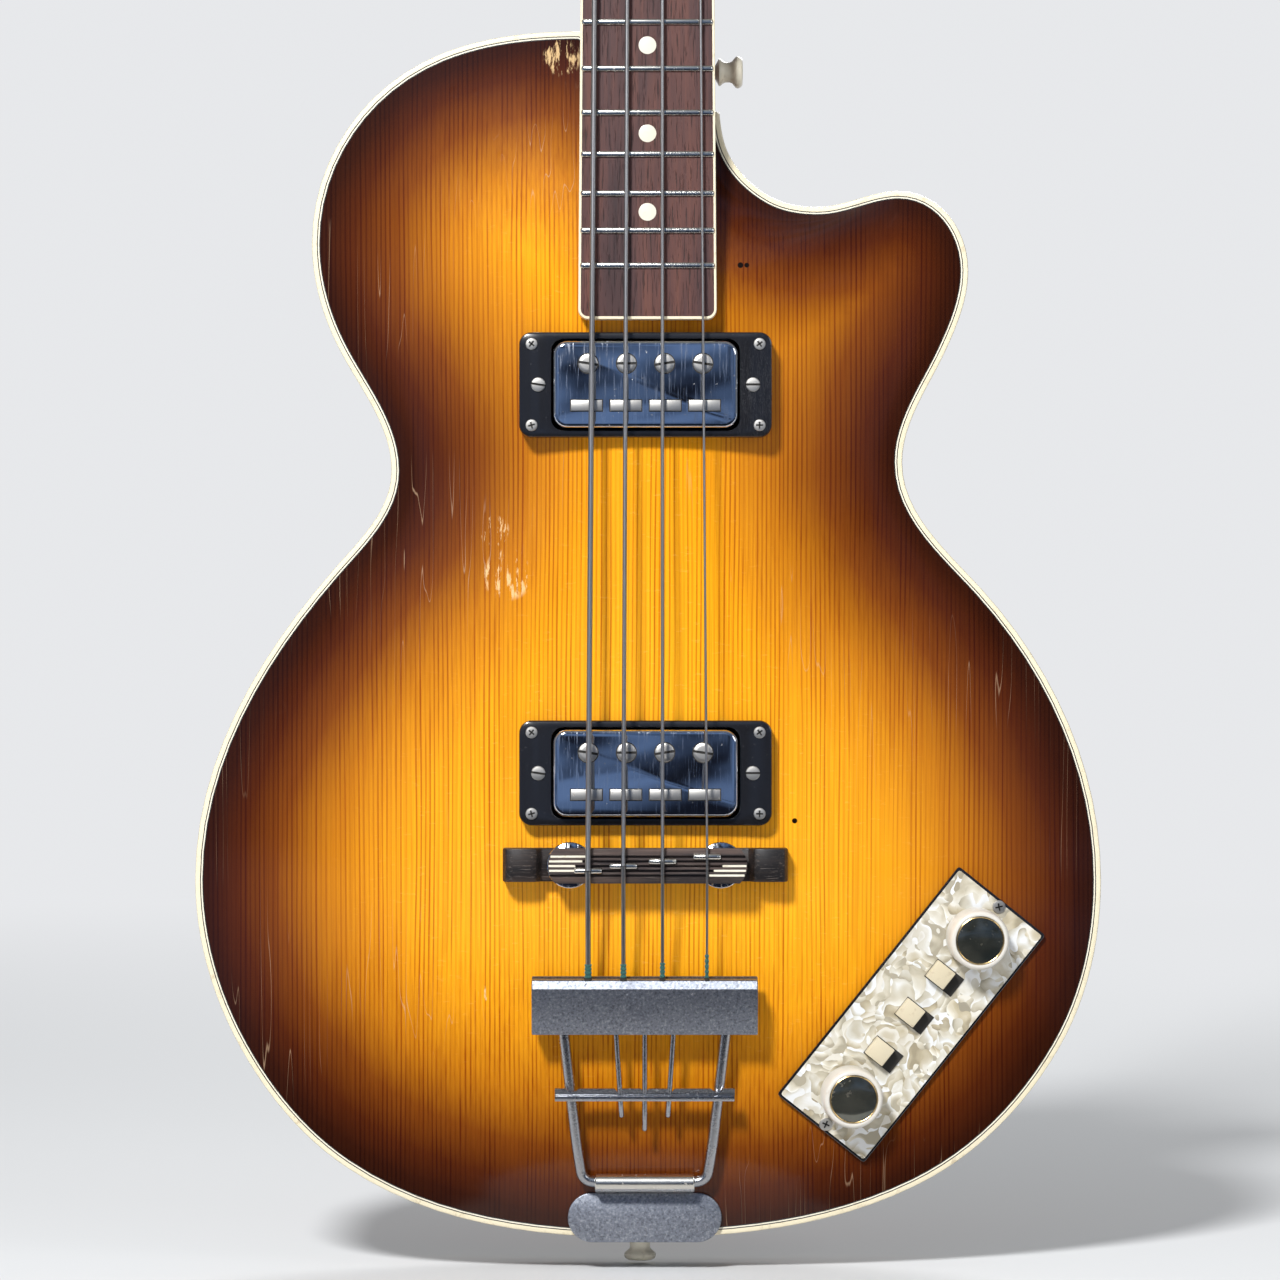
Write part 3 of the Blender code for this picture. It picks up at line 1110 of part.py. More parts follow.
def controls(front, top, plate_solid):
    """Knobs, caps and switch sliders on the plate, over one chassis of pots and switches."""
    x, y = PLATE_AT
    normal = arch_normal(x, y)
    long_axis = Vector((math.sin(PLATE_LEAN), math.cos(PLATE_LEAN), 0))
    long_axis = (long_axis - normal * long_axis.dot(normal)).normalized()
    across = long_axis.cross(normal)
    frame = empty("control_frame", front)
    frame.matrix_local = Matrix((across, long_axis, normal)).transposed().to_4x4()
    frame.location = (x, y, arch_height(x, y))
    face = GAP + PANEL_THICK
    opening = prism(rounded(*OPENING_SIZE, OPENING_CORNER, 4), -THROUGH, THROUGH)
    boolean(top, cutter("control_opening", opening, frame))
    chassis = piece("control_chassis", block(RAIL_SIZE, (0, 0, RAIL_LEVEL)), "steel", frame, smooth=False)
    for word, u in (("upper", KNOB_U), ("lower", -KNOB_U)):
        sag = local_sag(frame, u)
        bottom = face + sag + KNOB_LIFT
        shaft_end = bottom + SHAFT_IN_KNOB
        profile = [(0, POT_LOW), (POT_RADIUS, POT_LOW), (POT_RADIUS, POT_HIGH), (SHAFT_BORE, POT_HIGH)]
        pot = turned(profile + [(SHAFT_BORE, shaft_end), (0, shaft_end)], 12)
        boolean(chassis, cutter(f"pot_{word}", pot, frame, (0, u, 0)), "UNION")
        shaft_hole = cylinder(SHAFT_BORE + FIT, -THROUGH, THROUGH, 12)
        boolean(plate_solid, cutter(f"plate_hole_{word}", shaft_hole, frame, (0, u, 0)))
        axis = empty(f"knob_axis_{word}", frame, (0, u, bottom))
        rim = 1 * MM
        profile = [(0, 0), (KNOB_RADIUS, 0), (KNOB_RADIUS, KNOB_HEIGHT - rim)]
        profile += [(KNOB_RADIUS - rim, KNOB_HEIGHT), (0, KNOB_HEIGHT)]
        knob = piece(f"{word}_knob", turned(profile, FINE), "cream_plastic", axis)
        bore = cylinder(SHAFT_BORE + FIT, -1 * MM, SHAFT_IN_KNOB + 2 * GAP, 12)
        boolean(knob, cutter(f"knob_bore_{word}", bore, axis))
        seat = cylinder(KNOB_CAP_RADIUS + GAP, KNOB_HEIGHT - KNOB_CAP_THICK - GAP, KNOB_HEIGHT + 5 * MM, FINE)
        boolean(knob, cutter(f"cap_seat_{word}", seat, axis))
        cap = cylinder(KNOB_CAP_RADIUS, KNOB_HEIGHT - KNOB_CAP_THICK, KNOB_HEIGHT + 0.3 * MM, FINE)
        piece(f"{word}_knob_cap", cap, "mirror_cap", axis)
    for number, u in enumerate(SLIDER_U, 1):
        axis = empty(f"slider_axis_{number}", frame, (SLIDER_V, u, face + GAP + 0.5 * MM))
        cap_bm = block(SLIDER_SIZE, (0, 0, SLIDER_SIZE[2] / 2))
        slider = piece(f"switch_slider_{number}", cap_bm, "cream_plastic", axis, smooth=False)
        stem_depth = SLIDER_STEM[2]
        stem = block((SLIDER_STEM[0], SLIDER_STEM[1], stem_depth), (0, 0, 0.5 * MM - stem_depth / 2))
        boolean(slider, cutter(f"slider_stem_{number}", stem, axis), "UNION")
        slot_width = SLIDER_STEM[0] + SLIDER_TRAVEL + 2 * GAP
        slot = block((slot_width, SLIDER_STEM[1] + 2 * GAP, THROUGH), (SLIDER_TRAVEL / 2, 0, 0))
        boolean(plate_solid, cutter(f"plate_slot_{number}", slot, axis))
        box_high = face + GAP - stem_depth
        switch = block(SWITCH_SIZE, (0, u, box_high - SWITCH_SIZE[2] / 2))
        boolean(chassis, cutter(f"switch_{number}", switch, frame), "UNION")


def local_sag(frame, u):
    """How far the bent plate lies off the control frame's plane at a place along it."""
    x, y = on_plate(u, 0)
    bpy.context.view_layer.update()
    place = frame.matrix_local.inverted() @ Vector((x, y, arch_height(x, y)))
    return place.z


def jack(front, sides):
    """The output socket, square to the rib beside the controls."""
    edge = outline()
    i = JACK_SEGMENT * CURVE_STEPS + 1
    a, b = edge[i], edge[i + 1]
    along = (b - a).normalized()
    outward = Vector((along.y, -along.x, 0))
    middle = (a + b) / 2
    frame = empty("jack_frame", front)
    side = Vector((0, 0, 1)).cross(outward)
    frame.matrix_local = Matrix((side, Vector((0, 0, 1)), outward)).transposed().to_4x4()
    frame.location = (middle.x, middle.y, -RIB_DEPTH / 2)
    profile = [(0, -JACK_DEPTH), (JACK_BARREL, -JACK_DEPTH), (JACK_BARREL, GAP), (JACK_RADIUS, GAP)]
    profile += [(JACK_RADIUS - 0.4 * MM, GAP + 1.5 * MM), (0, GAP + 1.5 * MM)]
    socket = piece("jack_socket", turned(profile, FINE), "chrome", frame)
    boolean(socket, cutter("jack_bore", cylinder(JACK_BORE, -JACK_DEPTH + 2 * MM, 5 * MM), frame))
    boolean(sides, cutter("jack_hole", cylinder(JACK_BARREL + GAP, -LINING_WIDTH - 4 * MM, 5 * MM), frame))
    bpy.context.view_layer.update()
    world = frame.matrix_world
    print("jack mouth", world.translation, "axis", world.col[2])


def main():
    for old in list(bpy.data.objects):
        bpy.data.objects.remove(old, do_unlink=True)
    bpy.context.scene.unit_settings.scale_length = 1
    front = empty("front", at=(-BUTTON_X, -RIB_DEPTH / 2, 0), turn=(math.radians(90), 0, 0))
    zero_y = BRIDGE_LINE + SCALE
    neck = empty("neck_frame", front, (0, zero_y, BOARD_AT_NUT), (-NECK_ANGLE, 0, 0))
    head = empty("head_frame", neck, (0, NUT_SETBACK + NUT_LENGTH, -HEAD_DROP), (-HEAD_ANGLE, 0, 0))
    tail_angle = math.atan2(SADDLE_TOP - HINGE_HEIGHT, BRIDGE_Y - HINGE_Y)
    tail = empty("tailpiece_axis", front, (TAIL_X, HINGE_Y, HINGE_HEIGHT), (tail_angle, 0, 0))
    envelope = body_envelope("body_envelope", front)
    top, sides = body(front)
    tail_block = inner_blocks(front)
    fingerboard(neck)
    wood = neck_wood(front, neck, head, envelope)
    headstock(neck, head)
    tuners(head)
    for name in ("neck", "bridge"):
        pickup(name, front, top, envelope)
    bridge(front, envelope)
    leaf = tailpiece(front, tail, envelope)
    strap_buttons(front, leaf, sides, tail_block, wood)
    plate_solid = control_plate(front, envelope)
    controls(front, top, plate_solid)
    jack(front, sides)
    strings(front, neck, head, tail)


main()
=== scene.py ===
"""Looks of the electric bass guitar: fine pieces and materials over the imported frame.

Pieces of the body are drawn in plan, in millimetres: x across from the neck's centre line, y along
the body from the tail button's end, z out of the front from the top's rim plane.
"""

import json
import math

import bmesh
import bpy
from mathutils import Matrix, Vector, bvhtree, kdtree


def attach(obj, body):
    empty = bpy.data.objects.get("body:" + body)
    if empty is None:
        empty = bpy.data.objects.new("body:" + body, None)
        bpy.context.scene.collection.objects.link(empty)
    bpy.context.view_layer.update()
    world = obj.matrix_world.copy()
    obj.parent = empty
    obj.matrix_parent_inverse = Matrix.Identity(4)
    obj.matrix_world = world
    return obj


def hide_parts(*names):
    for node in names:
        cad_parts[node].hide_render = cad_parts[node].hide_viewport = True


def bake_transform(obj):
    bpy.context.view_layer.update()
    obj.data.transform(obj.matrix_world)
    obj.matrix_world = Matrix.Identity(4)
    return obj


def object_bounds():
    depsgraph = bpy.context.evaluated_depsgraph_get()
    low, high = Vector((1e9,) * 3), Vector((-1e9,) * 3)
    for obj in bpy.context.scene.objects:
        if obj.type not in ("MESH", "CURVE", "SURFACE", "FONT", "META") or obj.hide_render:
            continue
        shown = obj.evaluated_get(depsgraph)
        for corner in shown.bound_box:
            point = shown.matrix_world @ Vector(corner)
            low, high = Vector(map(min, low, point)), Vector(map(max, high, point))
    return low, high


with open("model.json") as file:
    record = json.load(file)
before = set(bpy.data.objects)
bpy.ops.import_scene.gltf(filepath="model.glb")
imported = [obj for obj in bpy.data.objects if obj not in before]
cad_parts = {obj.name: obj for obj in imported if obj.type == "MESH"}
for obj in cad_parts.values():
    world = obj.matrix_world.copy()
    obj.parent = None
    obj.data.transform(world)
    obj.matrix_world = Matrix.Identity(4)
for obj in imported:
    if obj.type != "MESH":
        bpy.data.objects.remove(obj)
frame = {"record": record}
CAD_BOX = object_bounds()
MM = 0.001

# Body, as in the part's source
RIB_DEPTH = 40
TOP_ARCH = 10.5
BACK_ARCH = 8
PLATE_THICK = 4.5
ARCH_RUN = 0.9
SPINE_LOW = 130
SPINE_HIGH = 350
CURVE_STEPS = 12
TRIM_WIDTH = 2.95
OUTLINE = (
    (-24.6, 450.2, 180),
    (-75.2, 442.0, 202),
    (-122.3, 373.0, 270),
    (-111.8, 333.3, 298),
    (-93.3, 290.0, 270),
    (-114.7, 253.6, 229),
    (-164.9, 141.0, 270),
    (-148.4, 79.7, 299),
    (-110.0, 36.2, 326),
    (-3.0, 10.4, 0),
    (97.6, 29.2, 26),
    (150.2, 79.7, 60),
    (165.4, 141.0, 90),
    (122.3, 246.4, 132),
    (92.9, 293.0, 90),
    (108.5, 333.3, 65),
    (117.0, 363.0, 90),
    (91.5, 392.0, 180),
    (62.0, 386.2, 180),
    (44.1, 390.4, 149),
    (29.5, 405.8, 115),
    (26.3, 420.3, 95),
)

# Strings and neck; the places are in plan, those of the posts on the headstock
STRINGS = "eadg"
STRING_DIAMETER = {"e": 2.0, "a": 1.6, "d": 1.3, "g": 0.9}
SADDLE_X = {"e": -21.4, "a": -8.7, "d": 5.4, "g": 21.4}
SADDLE_Y = {"e": 145.3, "a": 147.0, "d": 148.7, "g": 150.4}
SADDLE_TOP = 26.4
NUT_X = {"e": -15.9, "a": -5.3, "d": 5.3, "g": 15.9}
POST_AT = {"e": (-21, 48), "a": (-23, 112), "d": (23, 112), "g": (21, 48)}
SCALE = 760
FRETS = 22
FRET_HEIGHT = 1.1
BOARD_END = 566.03
NUT_Y = 910

# Pickups, bridge, tailpiece and control panel
PICKUP_X = -0.7
PICKUP_Y = {"neck": 320.6, "bridge": 180.2}
PICKUP_STANDS = {"neck": 2.6, "bridge": 4.2}
BRIDGE_X = -0.8
BRIDGE_Y = 147
STUD_SPREAD = 27.2
DECK_ROUND = 8.7
GROOVE_STEP = 1.7
GROOVE_HALF = 0.45
WHEEL_RADIUS = 8.45
HINGE_X = -1
HINGE_Y = 31
BAR_NEAR = 56.3
BAR_FAR = 76.3
BALL_Y = 72.3
PANEL_AT = (96, 92)
PANEL_LEAN = 38.6
KNOB_OFFSET = 36.6
SLIDER_STATIONS = (18.0, 0.4, -17.5)

# The colour of the surroundings
PALE = (0.80, 0.81, 0.83)


def turn(degrees, axis):
    return Matrix.Rotation(math.radians(degrees), 4, axis)


def shift(x=0, y=0, z=0):
    return Matrix.Translation((x, y, z))


def millimetres(x=0, y=0, z=0):
    return shift(x * MM, y * MM, z * MM)


# Where pieces are drawn: in the world, and on the front, the neck, the hinge and the headstock
WORLD = Matrix.Identity(4)
FRONT = shift(0.0027, -0.020, 0) @ turn(90, "X")
NECK = FRONT @ shift(0, 0.910, -0.0002) @ turn(-1.8, "X")
TAIL = FRONT @ millimetres(HINGE_X, HINGE_Y, 6) @ turn(9.974, "X")
HEAD = shift(0.0027, -0.015267, 0.917361) @ turn(90 - 14.8, "X")


class Socket:
    """A node's output, with the arithmetic that adds Math nodes."""

    def __init__(self, shader, socket):
        self.shader = shader
        self.socket = socket

    def maths(self, operation, *values):
        return self.shader.node("ShaderNodeMath", {"operation": operation}, values)

    def __add__(self, other):
        return self.maths("ADD", self, other)

    def __sub__(self, other):
        return self.maths("SUBTRACT", self, other)

    def __rsub__(self, other):
        return self.maths("SUBTRACT", other, self)

    def __mul__(self, other):
        return self.maths("MULTIPLY", self, other)

    __radd__ = __add__
    __rmul__ = __mul__

    def size(self):
        return self.maths("ABSOLUTE", self)

    def sine(self):
        return self.maths("SINE", self)

    def most(self, other):
        return self.maths("MAXIMUM", self, other)

    def ramp(self, low, high):
        """A smooth step from 0 at low to 1 at high."""
        settings = {"interpolation_type": "SMOOTHSTEP"}
        values = {"Value": self, "From Min": low, "From Max": high}
        return self.shader.node("ShaderNodeMapRange", settings, values)


class Shader:
    """The nodes of one material, or of the world."""

    def __init__(self, name, library=bpy.data.materials):
        self.made = library.new(name)
        self.made.use_nodes = True
        self.tree = self.made.node_tree
        self.tree.nodes.clear()
        self.place = self.node("ShaderNodeTexCoord", output="Object")

    def node(self, kind, settings=None, values=(), output=0):
        """Adds a node: its settings first, then its sockets' values or links."""
        node = self.tree.nodes.new(kind)
        for key, value in (settings or {}).items():
            if key == "stops":
                stops = node.color_ramp.elements
                while len(stops) < len(value):
                    stops.new(1)
                for stop, (position, colour) in zip(stops, value):
                    stop.position = position
                    stop.color = (*colour, 1)
            else:
                setattr(node, key, value)
        for key, value in values.items() if isinstance(values, dict) else enumerate(values):
            if isinstance(value, Socket):
                self.tree.links.new(value.socket, node.inputs[key])
            else:
                node.inputs[key].default_value = value
        return Socket(self, node.outputs[output])

    def vectors(self, operation, *values, output=0):
        return self.node("ShaderNodeVectorMath", {"operation": operation}, values, output)

    def mapped(self, scale, turned_by=(0, 0, 0)):
        values = {"Vector": self.place, "Scale": scale, "Rotation": turned_by}
        return self.node("ShaderNodeMapping", None, values)

    def noise(self, scale, detail=2, vector=None, rough=0.5, output=0):
        values = {"Vector": vector or self.place, "Scale": scale, "Detail": detail, "Roughness": rough}
        return self.node("ShaderNodeTexNoise", None, values, output)

    def streaks(self, scale, detail=3, rough=0.5, turned_by=(0, 0, 0)):
        """Noise with its own scale along each axis."""
        return self.noise(1, detail, self.mapped(scale, turned_by), rough)

    def axis(self, letter, vector=None):
        return self.node("ShaderNodeSeparateXYZ", None, [vector or self.place], letter)

    def from_edge(self):
        """The distance from the body's edge, in millimetres."""
        return self.node("ShaderNodeAttribute", {"attribute_name": "edge_distance"}, (), "Fac")

    def colours(self, value, *stops):
        return self.node("ShaderNodeValToRGB", {"stops": stops}, [value])

    def mix(self, factor, first, second, way="MIX"):
        values = {0: factor, 6: first, 7: second}
        values = {k: (*v, 1) if isinstance(v, tuple) else v for k, v in values.items()}
        return self.node("ShaderNodeMix", {"data_type": "RGBA", "blend_type": way}, values, 2)

    def spots(self, places):
        """1 near the lines that run front to back through each x and z, in metres."""
        flat = self.vectors("MULTIPLY", self.place, (1, 0, 1))
        mask = None
        for x, z, radius in places:
            far = self.vectors("DISTANCE", flat, (x, 0, z), output="Value")
            spot = 1 - far.ramp(radius * 0.75, radius)
            mask = spot if mask is None else mask.most(spot)
        return mask

    def bump(self, height, depth, strength):
        values = {"Strength": strength, "Distance": depth, "Height": height}
        return self.node("ShaderNodeBump", None, values)

    def glow(self, kind, colour, strength=1.0):
        return self.node(kind, None, {"Color": (*colour, 1), "Strength": strength})

    def blended(self, share, first, second):
        return self.node("ShaderNodeMixShader", None, [share, first, second])

    def surface(self, colour, roughness, **values):
        """The finished material: the words are the shader's sockets, with _ for a space."""
        sockets = {"Base Color": colour, "Roughness": roughness}
        sockets.update({key.replace("_", " "): value for key, value in values.items()})
        return self.ending(self.node("ShaderNodeBsdfPrincipled", None, sockets))

    def ending(self, skin, kind="ShaderNodeOutputMaterial"):
        out = self.tree.nodes.new(kind)
        self.tree.links.new(skin.socket, out.inputs[0])
        return self.made


# Materials

# Patches of worn lacquer in the top, and small holes there whose shade is painted as dark spots: x, z and
# radius in metres
WORN = (
    (-0.0285, 0.4405, 0.0075),
    (-0.0480, 0.2520, 0.0100),
    (-0.0530, 0.2680, 0.0060),
    (-0.0160, 0.0165, 0.0060),
    (-0.0560, 0.1000, 0.0030),
)
HOLE_SHADE_SPOTS = (
    (0.0365, 0.3645, 0.0012),
    (0.0388, 0.3645, 0.0010),
    (0.0561, 0.1627, 0.0011),
)
BONE = (0.80, 0.73, 0.55)
DIRT = (0.34, 0.24, 0.13)
SOFT_SHADOW = (0.05, 0.04, 0.03)
PEARL_DIRT = (0.5, 0.42, 0.3)


def scratches(s, scale, density):
    """Fine marks in several directions, as a mask."""
    marks = None
    for angle, stretch in ((0.5, 14), (1.4, 18), (2.5, 12)):
        streaks = s.noise(scale, 3, s.mapped((stretch, 1, 1), (angle, angle, angle)), 0.6)
        line = 1 - (streaks - 0.5).size().ramp(0, density)
        marks = line if marks is None else marks.most(line)
    return marks * s.noise(9, 2).ramp(0.5, 0.7)


def grain(s):
    """Year rings of quartered softwood that run up the neck's direction, and its fibres."""
    wander = 0.0016
    across = s.axis("X") + s.streaks((14, 14, 2.2)) * wander * 5 + s.streaks((70, 70, 6), 2) * wander * 1.4
    ring = (across * (590 * math.tau)).sine()
    return ring, s.streaks((1500, 1500, 22), 4, 0.6)


def sunburst():
    s = Shader("sunburst_spruce")
    ring, fibre = grain(s)
    edge = s.from_edge()
    reach = edge + (s.noise(9, 3) - 0.5) * 16
    stops = (
        (0.0, (0.022, 0.0045, 0.001)),
        (0.06, (0.033, 0.006, 0.001)),
        (0.15, (0.075, 0.014, 0.0013)),
        (0.28, (0.190, 0.048, 0.0025)),
        (0.46, (0.500, 0.175, 0.004)),
        (0.7, (0.830, 0.345, 0.007)),
        (1.0, (0.950, 0.430, 0.013)),
    )
    lacquer = s.colours(reach * (1 / 112), *stops)
    uneven = s.streaks((260, 260, 3), 3, 0.6).ramp(0.36, 0.64) * 0.75 + 0.25
    lines = ring.ramp(0.0, 1) * uneven
    late = s.streaks((620, 620, 5), 2).ramp(0.5, 0.62)
    wood = s.mix(lines * 0.85 + late * 0.15, lacquer, (0.52, 0.30, 0.10), "MULTIPLY")
    wood = s.mix(fibre.ramp(0.35, 0.75) * 0.35, wood, (0.74, 0.55, 0.36), "MULTIPLY")
    rays = s.streaks((220, 220, 900), 3, 0.7).ramp(0.6, 0.72) * edge.ramp(40, 90) * 0.14
    wood = s.mix(rays, wood, (1.0, 0.62, 0.16))
    check = 1 - (s.streaks((230, 230, 6), 1, 0.3) - 0.5).size().ramp(0, 0.006)
    check = check * s.noise(12, 2).ramp(0.52, 0.62) * (1 - edge.ramp(55, 95))
    wood = s.mix(check * 0.4, wood, (0.55, 0.36, 0.22))
    worn = s.spots(WORN) * s.streaks((420, 420, 90), 4, 0.7).ramp(0.53, 0.62)
    wood = s.mix(worn * 0.75, wood, (0.80, 0.55, 0.27))
    chips = (1 - edge.ramp(0.2, 2.2)) * s.noise(130, 2).ramp(0.57, 0.62)
    wood = s.mix(chips, wood, (0.72, 0.52, 0.30))
    hole_shade_mask = s.spots(HOLE_SHADE_SPOTS)
    # Painted shade: the holes are near-black spots without lacquer, for the shade inside them
    wood = s.mix(hole_shade_mask, wood, (0.006, 0.003, 0.002))
    rough = 0.34 + s.noise(35, 3) * 0.12 + worn * 0.3
    waves = s.noise(14, 2) * 0.4 + lines * 0.02
    dents = s.noise(70, 2).ramp(0.68, 0.75)
    relief = s.bump(waves - dents * 0.15 - check * 0.06 - worn * 0.05, 0.0006, 0.6)
    coat = {"Coat_Weight": (1 - hole_shade_mask) * 0.5, "Coat_Roughness": 0.07, "Specular_IOR_Level": 0.06}
    return s.surface(wood, rough, Normal=relief, **coat)


def scratched_lacquer(s, tone, scale, share, bare, waves):
    """Glossy lacquer with fine scratches down to the bare tone."""
    marks = scratches(s, scale, 0.012)
    tone = s.mix(marks * share, tone, bare)
    relief = s.bump(s.noise(waves, 2) * 0.4 - marks * 0.05, 0.0005, 0.5)
    coat = {"Coat_Weight": 1.0, "Coat_Roughness": 0.1, "Specular_IOR_Level": 0.06}
    return s.surface(tone, 0.36 + marks * 0.2, Normal=relief, **coat)


def side_lacquer():
    s = Shader("brown_lacquer_maple")
    flame = s.streaks((26, 200, 26), 2)
    stops = ((0.3, (0.040, 0.010, 0.004)), (0.55, (0.095, 0.024, 0.008)), (0.8, (0.055, 0.014, 0.005)))
    tone = s.colours(s.streaks((8, 8, 150), 3, 0.6), *stops)
    tone = s.mix(flame.ramp(0.45, 0.7) * 0.5, tone, (0.15, 0.042, 0.012))
    return scratched_lacquer(s, tone, 22, 0.35, (0.30, 0.16, 0.08), 16)


def back_burst():
    s = Shader("back_burst_maple")
    flame = s.streaks((7, 7, 120), 2, 0.6, (0, 0.12, 0))
    reach = s.from_edge() + (s.noise(7, 2) - 0.5) * 18
    stops = (
        (0.0, (0.028, 0.007, 0.003)),
        (0.25, (0.075, 0.016, 0.005)),
        (0.6, (0.26, 0.075, 0.012)),
        (1.0, (0.40, 0.14, 0.022)),
    )
    tone = s.colours(reach * (1 / 115), *stops)
    tone = s.mix(flame.ramp(0.35, 0.7) * 0.6, tone, (0.48, 0.30, 0.16), "MULTIPLY")
    pores = s.streaks((900, 900, 40), 3, 0.6).ramp(0.58, 0.7)
    tone = s.mix(pores * 0.3, tone, (0.03, 0.01, 0.004))
    return scratched_lacquer(s, tone, 18, 0.3, (0.42, 0.24, 0.12), 14)


def neck_maple():
    s = Shader("neck_lacquer")
    stops = ((0.3, (0.075, 0.020, 0.008)), (0.5, (0.15, 0.046, 0.016)), (0.75, (0.10, 0.028, 0.010)))
    tone = s.colours(s.streaks((90, 90, 5), 4, 0.6), *stops)
    wear = s.noise(11, 3).ramp(0.58, 0.72)
    tone = s.mix(wear * 0.3, tone, (0.30, 0.13, 0.05))
    fibre = s.streaks((1400, 1400, 30), 3, 0.6)
    relief = s.bump(fibre * 0.15 + s.noise(20, 2) * 0.3, 0.0003, 0.5)
    return s.surface(tone, 0.34 + wear * 0.15, Coat_Weight=0.8, Coat_Roughness=0.14, Normal=relief)


def raw_spruce():
    s = Shader("raw_spruce")
    ring, fibre = grain(s)
    tone = s.mix(ring.ramp(0, 1) * 0.5, (0.60, 0.42, 0.22), (0.38, 0.22, 0.09))
    return s.surface(tone, 0.7 + fibre * 0.15, Normal=s.bump(fibre, 0.0002, 0.5))


def rosewood():
    s = Shader("rosewood_board")
    stripe = s.streaks((260, 260, 9), 5, 0.65)
    figure = s.streaks((70, 70, 6))
    stops = (
        (0.28, (0.020, 0.008, 0.009)),
        (0.45, (0.060, 0.022, 0.020)),
        (0.58, (0.105, 0.036, 0.026)),
        (0.75, (0.170, 0.062, 0.034)),
    )
    tone = s.colours(stripe * 0.6 + figure * 0.4, *stops)
    pores = s.streaks((1900, 1900, 70), 3, 0.7).ramp(0.55, 0.66)
    tone = s.mix(pores * 0.75, tone, (0.012, 0.006, 0.006))
    relief = s.bump(pores * -1 + stripe * 0.3, 0.00015, 0.7)
    return s.surface(tone, 0.46 + pores * 0.25 - figure * 0.08, Normal=relief)


def ebony(name="ebony", fade=1.0):
    s = Shader(name)
    stripe = s.streaks((14, 300, 300), 4, 0.6)
    stops = ((0.4, (0.008, 0.006, 0.006)), (0.62, (0.026, 0.017, 0.014)), (0.75, (0.055, 0.034, 0.026)))
    tone = s.colours(stripe, *((at, tuple(part * fade for part in colour)) for at, colour in stops))
    pores = s.streaks((90, 1800, 1800), 3, 0.7).ramp(0.56, 0.66)
    tone = s.mix(pores * 0.6, tone, (0.10, 0.075, 0.06))
    return s.surface(tone, 0.4 + stripe * 0.2, Normal=s.bump(pores * -1 + stripe * 0.3, 0.0001, 0.6))


def aged_plastic(name, colour, dirt, roughness=0.32, coat=0.25):
    s = Shader(name)
    cloud = s.noise(60, 3)
    grime = s.noise(240, 4, None, 0.7).ramp(0.55, 0.75)
    tone = s.mix(cloud * 0.4, colour, tuple(c * f for c, f in zip(colour, (0.86, 0.78, 0.58))))
    tone = s.mix(grime * 0.5, tone, dirt)
    relief = s.bump(s.noise(700, 3) * 0.3 - grime * 0.5, 0.00008, 0.5)
    rough = roughness + cloud * 0.12 + grime * 0.15
    return s.surface(tone, rough, Coat_Weight=coat, Coat_Roughness=0.18, Normal=relief)


def black_plastic(name="black_plastic"):
    s = Shader(name)
    marks = scratches(s, 90, 0.01)
    dust = s.noise(900, 3).ramp(0.66, 0.75)
    tone = s.mix(marks * 0.25 + dust * 0.12, (0.010, 0.010, 0.012), (0.20, 0.20, 0.21))
    relief = s.bump(s.noise(26, 2) * 0.3 - marks * 0.1, 0.0002, 0.5)
    rough = 0.14 + marks * 0.25 + s.noise(50, 3) * 0.12
    return s.surface(tone, rough, Coat_Weight=0.4, Coat_Roughness=0.06, Normal=relief)


def metal(name, colour, roughness, tarnish, spread=0.6, relief_depth=0.00004, specks=0.0, scuffs=0.0):
    s = Shader(name)
    marks = scratches(s, 110, 0.014)
    cloud = s.noise(45, 4, None, 0.6)
    stain = cloud.ramp(0.5, 0.5 + 0.3 / spread)
    tone = s.mix(stain * spread, colour, tarnish)
    pits = s.noise(600, 3, None, 0.6).ramp(0.66, 0.74)
    tone = s.mix(pits * 0.5, tone, (0.10, 0.085, 0.07))
    rough = roughness + stain * 0.14 + marks * 0.12 + pits * 0.25
    height = s.noise(30, 2) * 0.6 - marks * 0.3 - pits * 0.6
    if scuffs:
        hairs = s.streaks((1500, 1500, 90), 3, 0.6, (0, 0.95, 0)).ramp(0.5, 0.68)
        tone = s.mix(hairs * scuffs, tone, (0.95, 0.97, 1.0))
        rough = rough + hairs * scuffs * 0.3
    if specks:
        dots = s.noise(1100, 3, None, 0.7)
        tone = s.mix(dots.ramp(0.52, 0.68) * specks, tone, (0.62, 0.64, 0.68))
        tone = s.mix((1 - dots.ramp(0.34, 0.48)) * specks, tone, (0.05, 0.055, 0.07))
        height = height + dots * 0.8
    return s.surface(tone, rough, Metallic=1 - pits * 0.5, Normal=s.bump(height, relief_depth, 0.6))


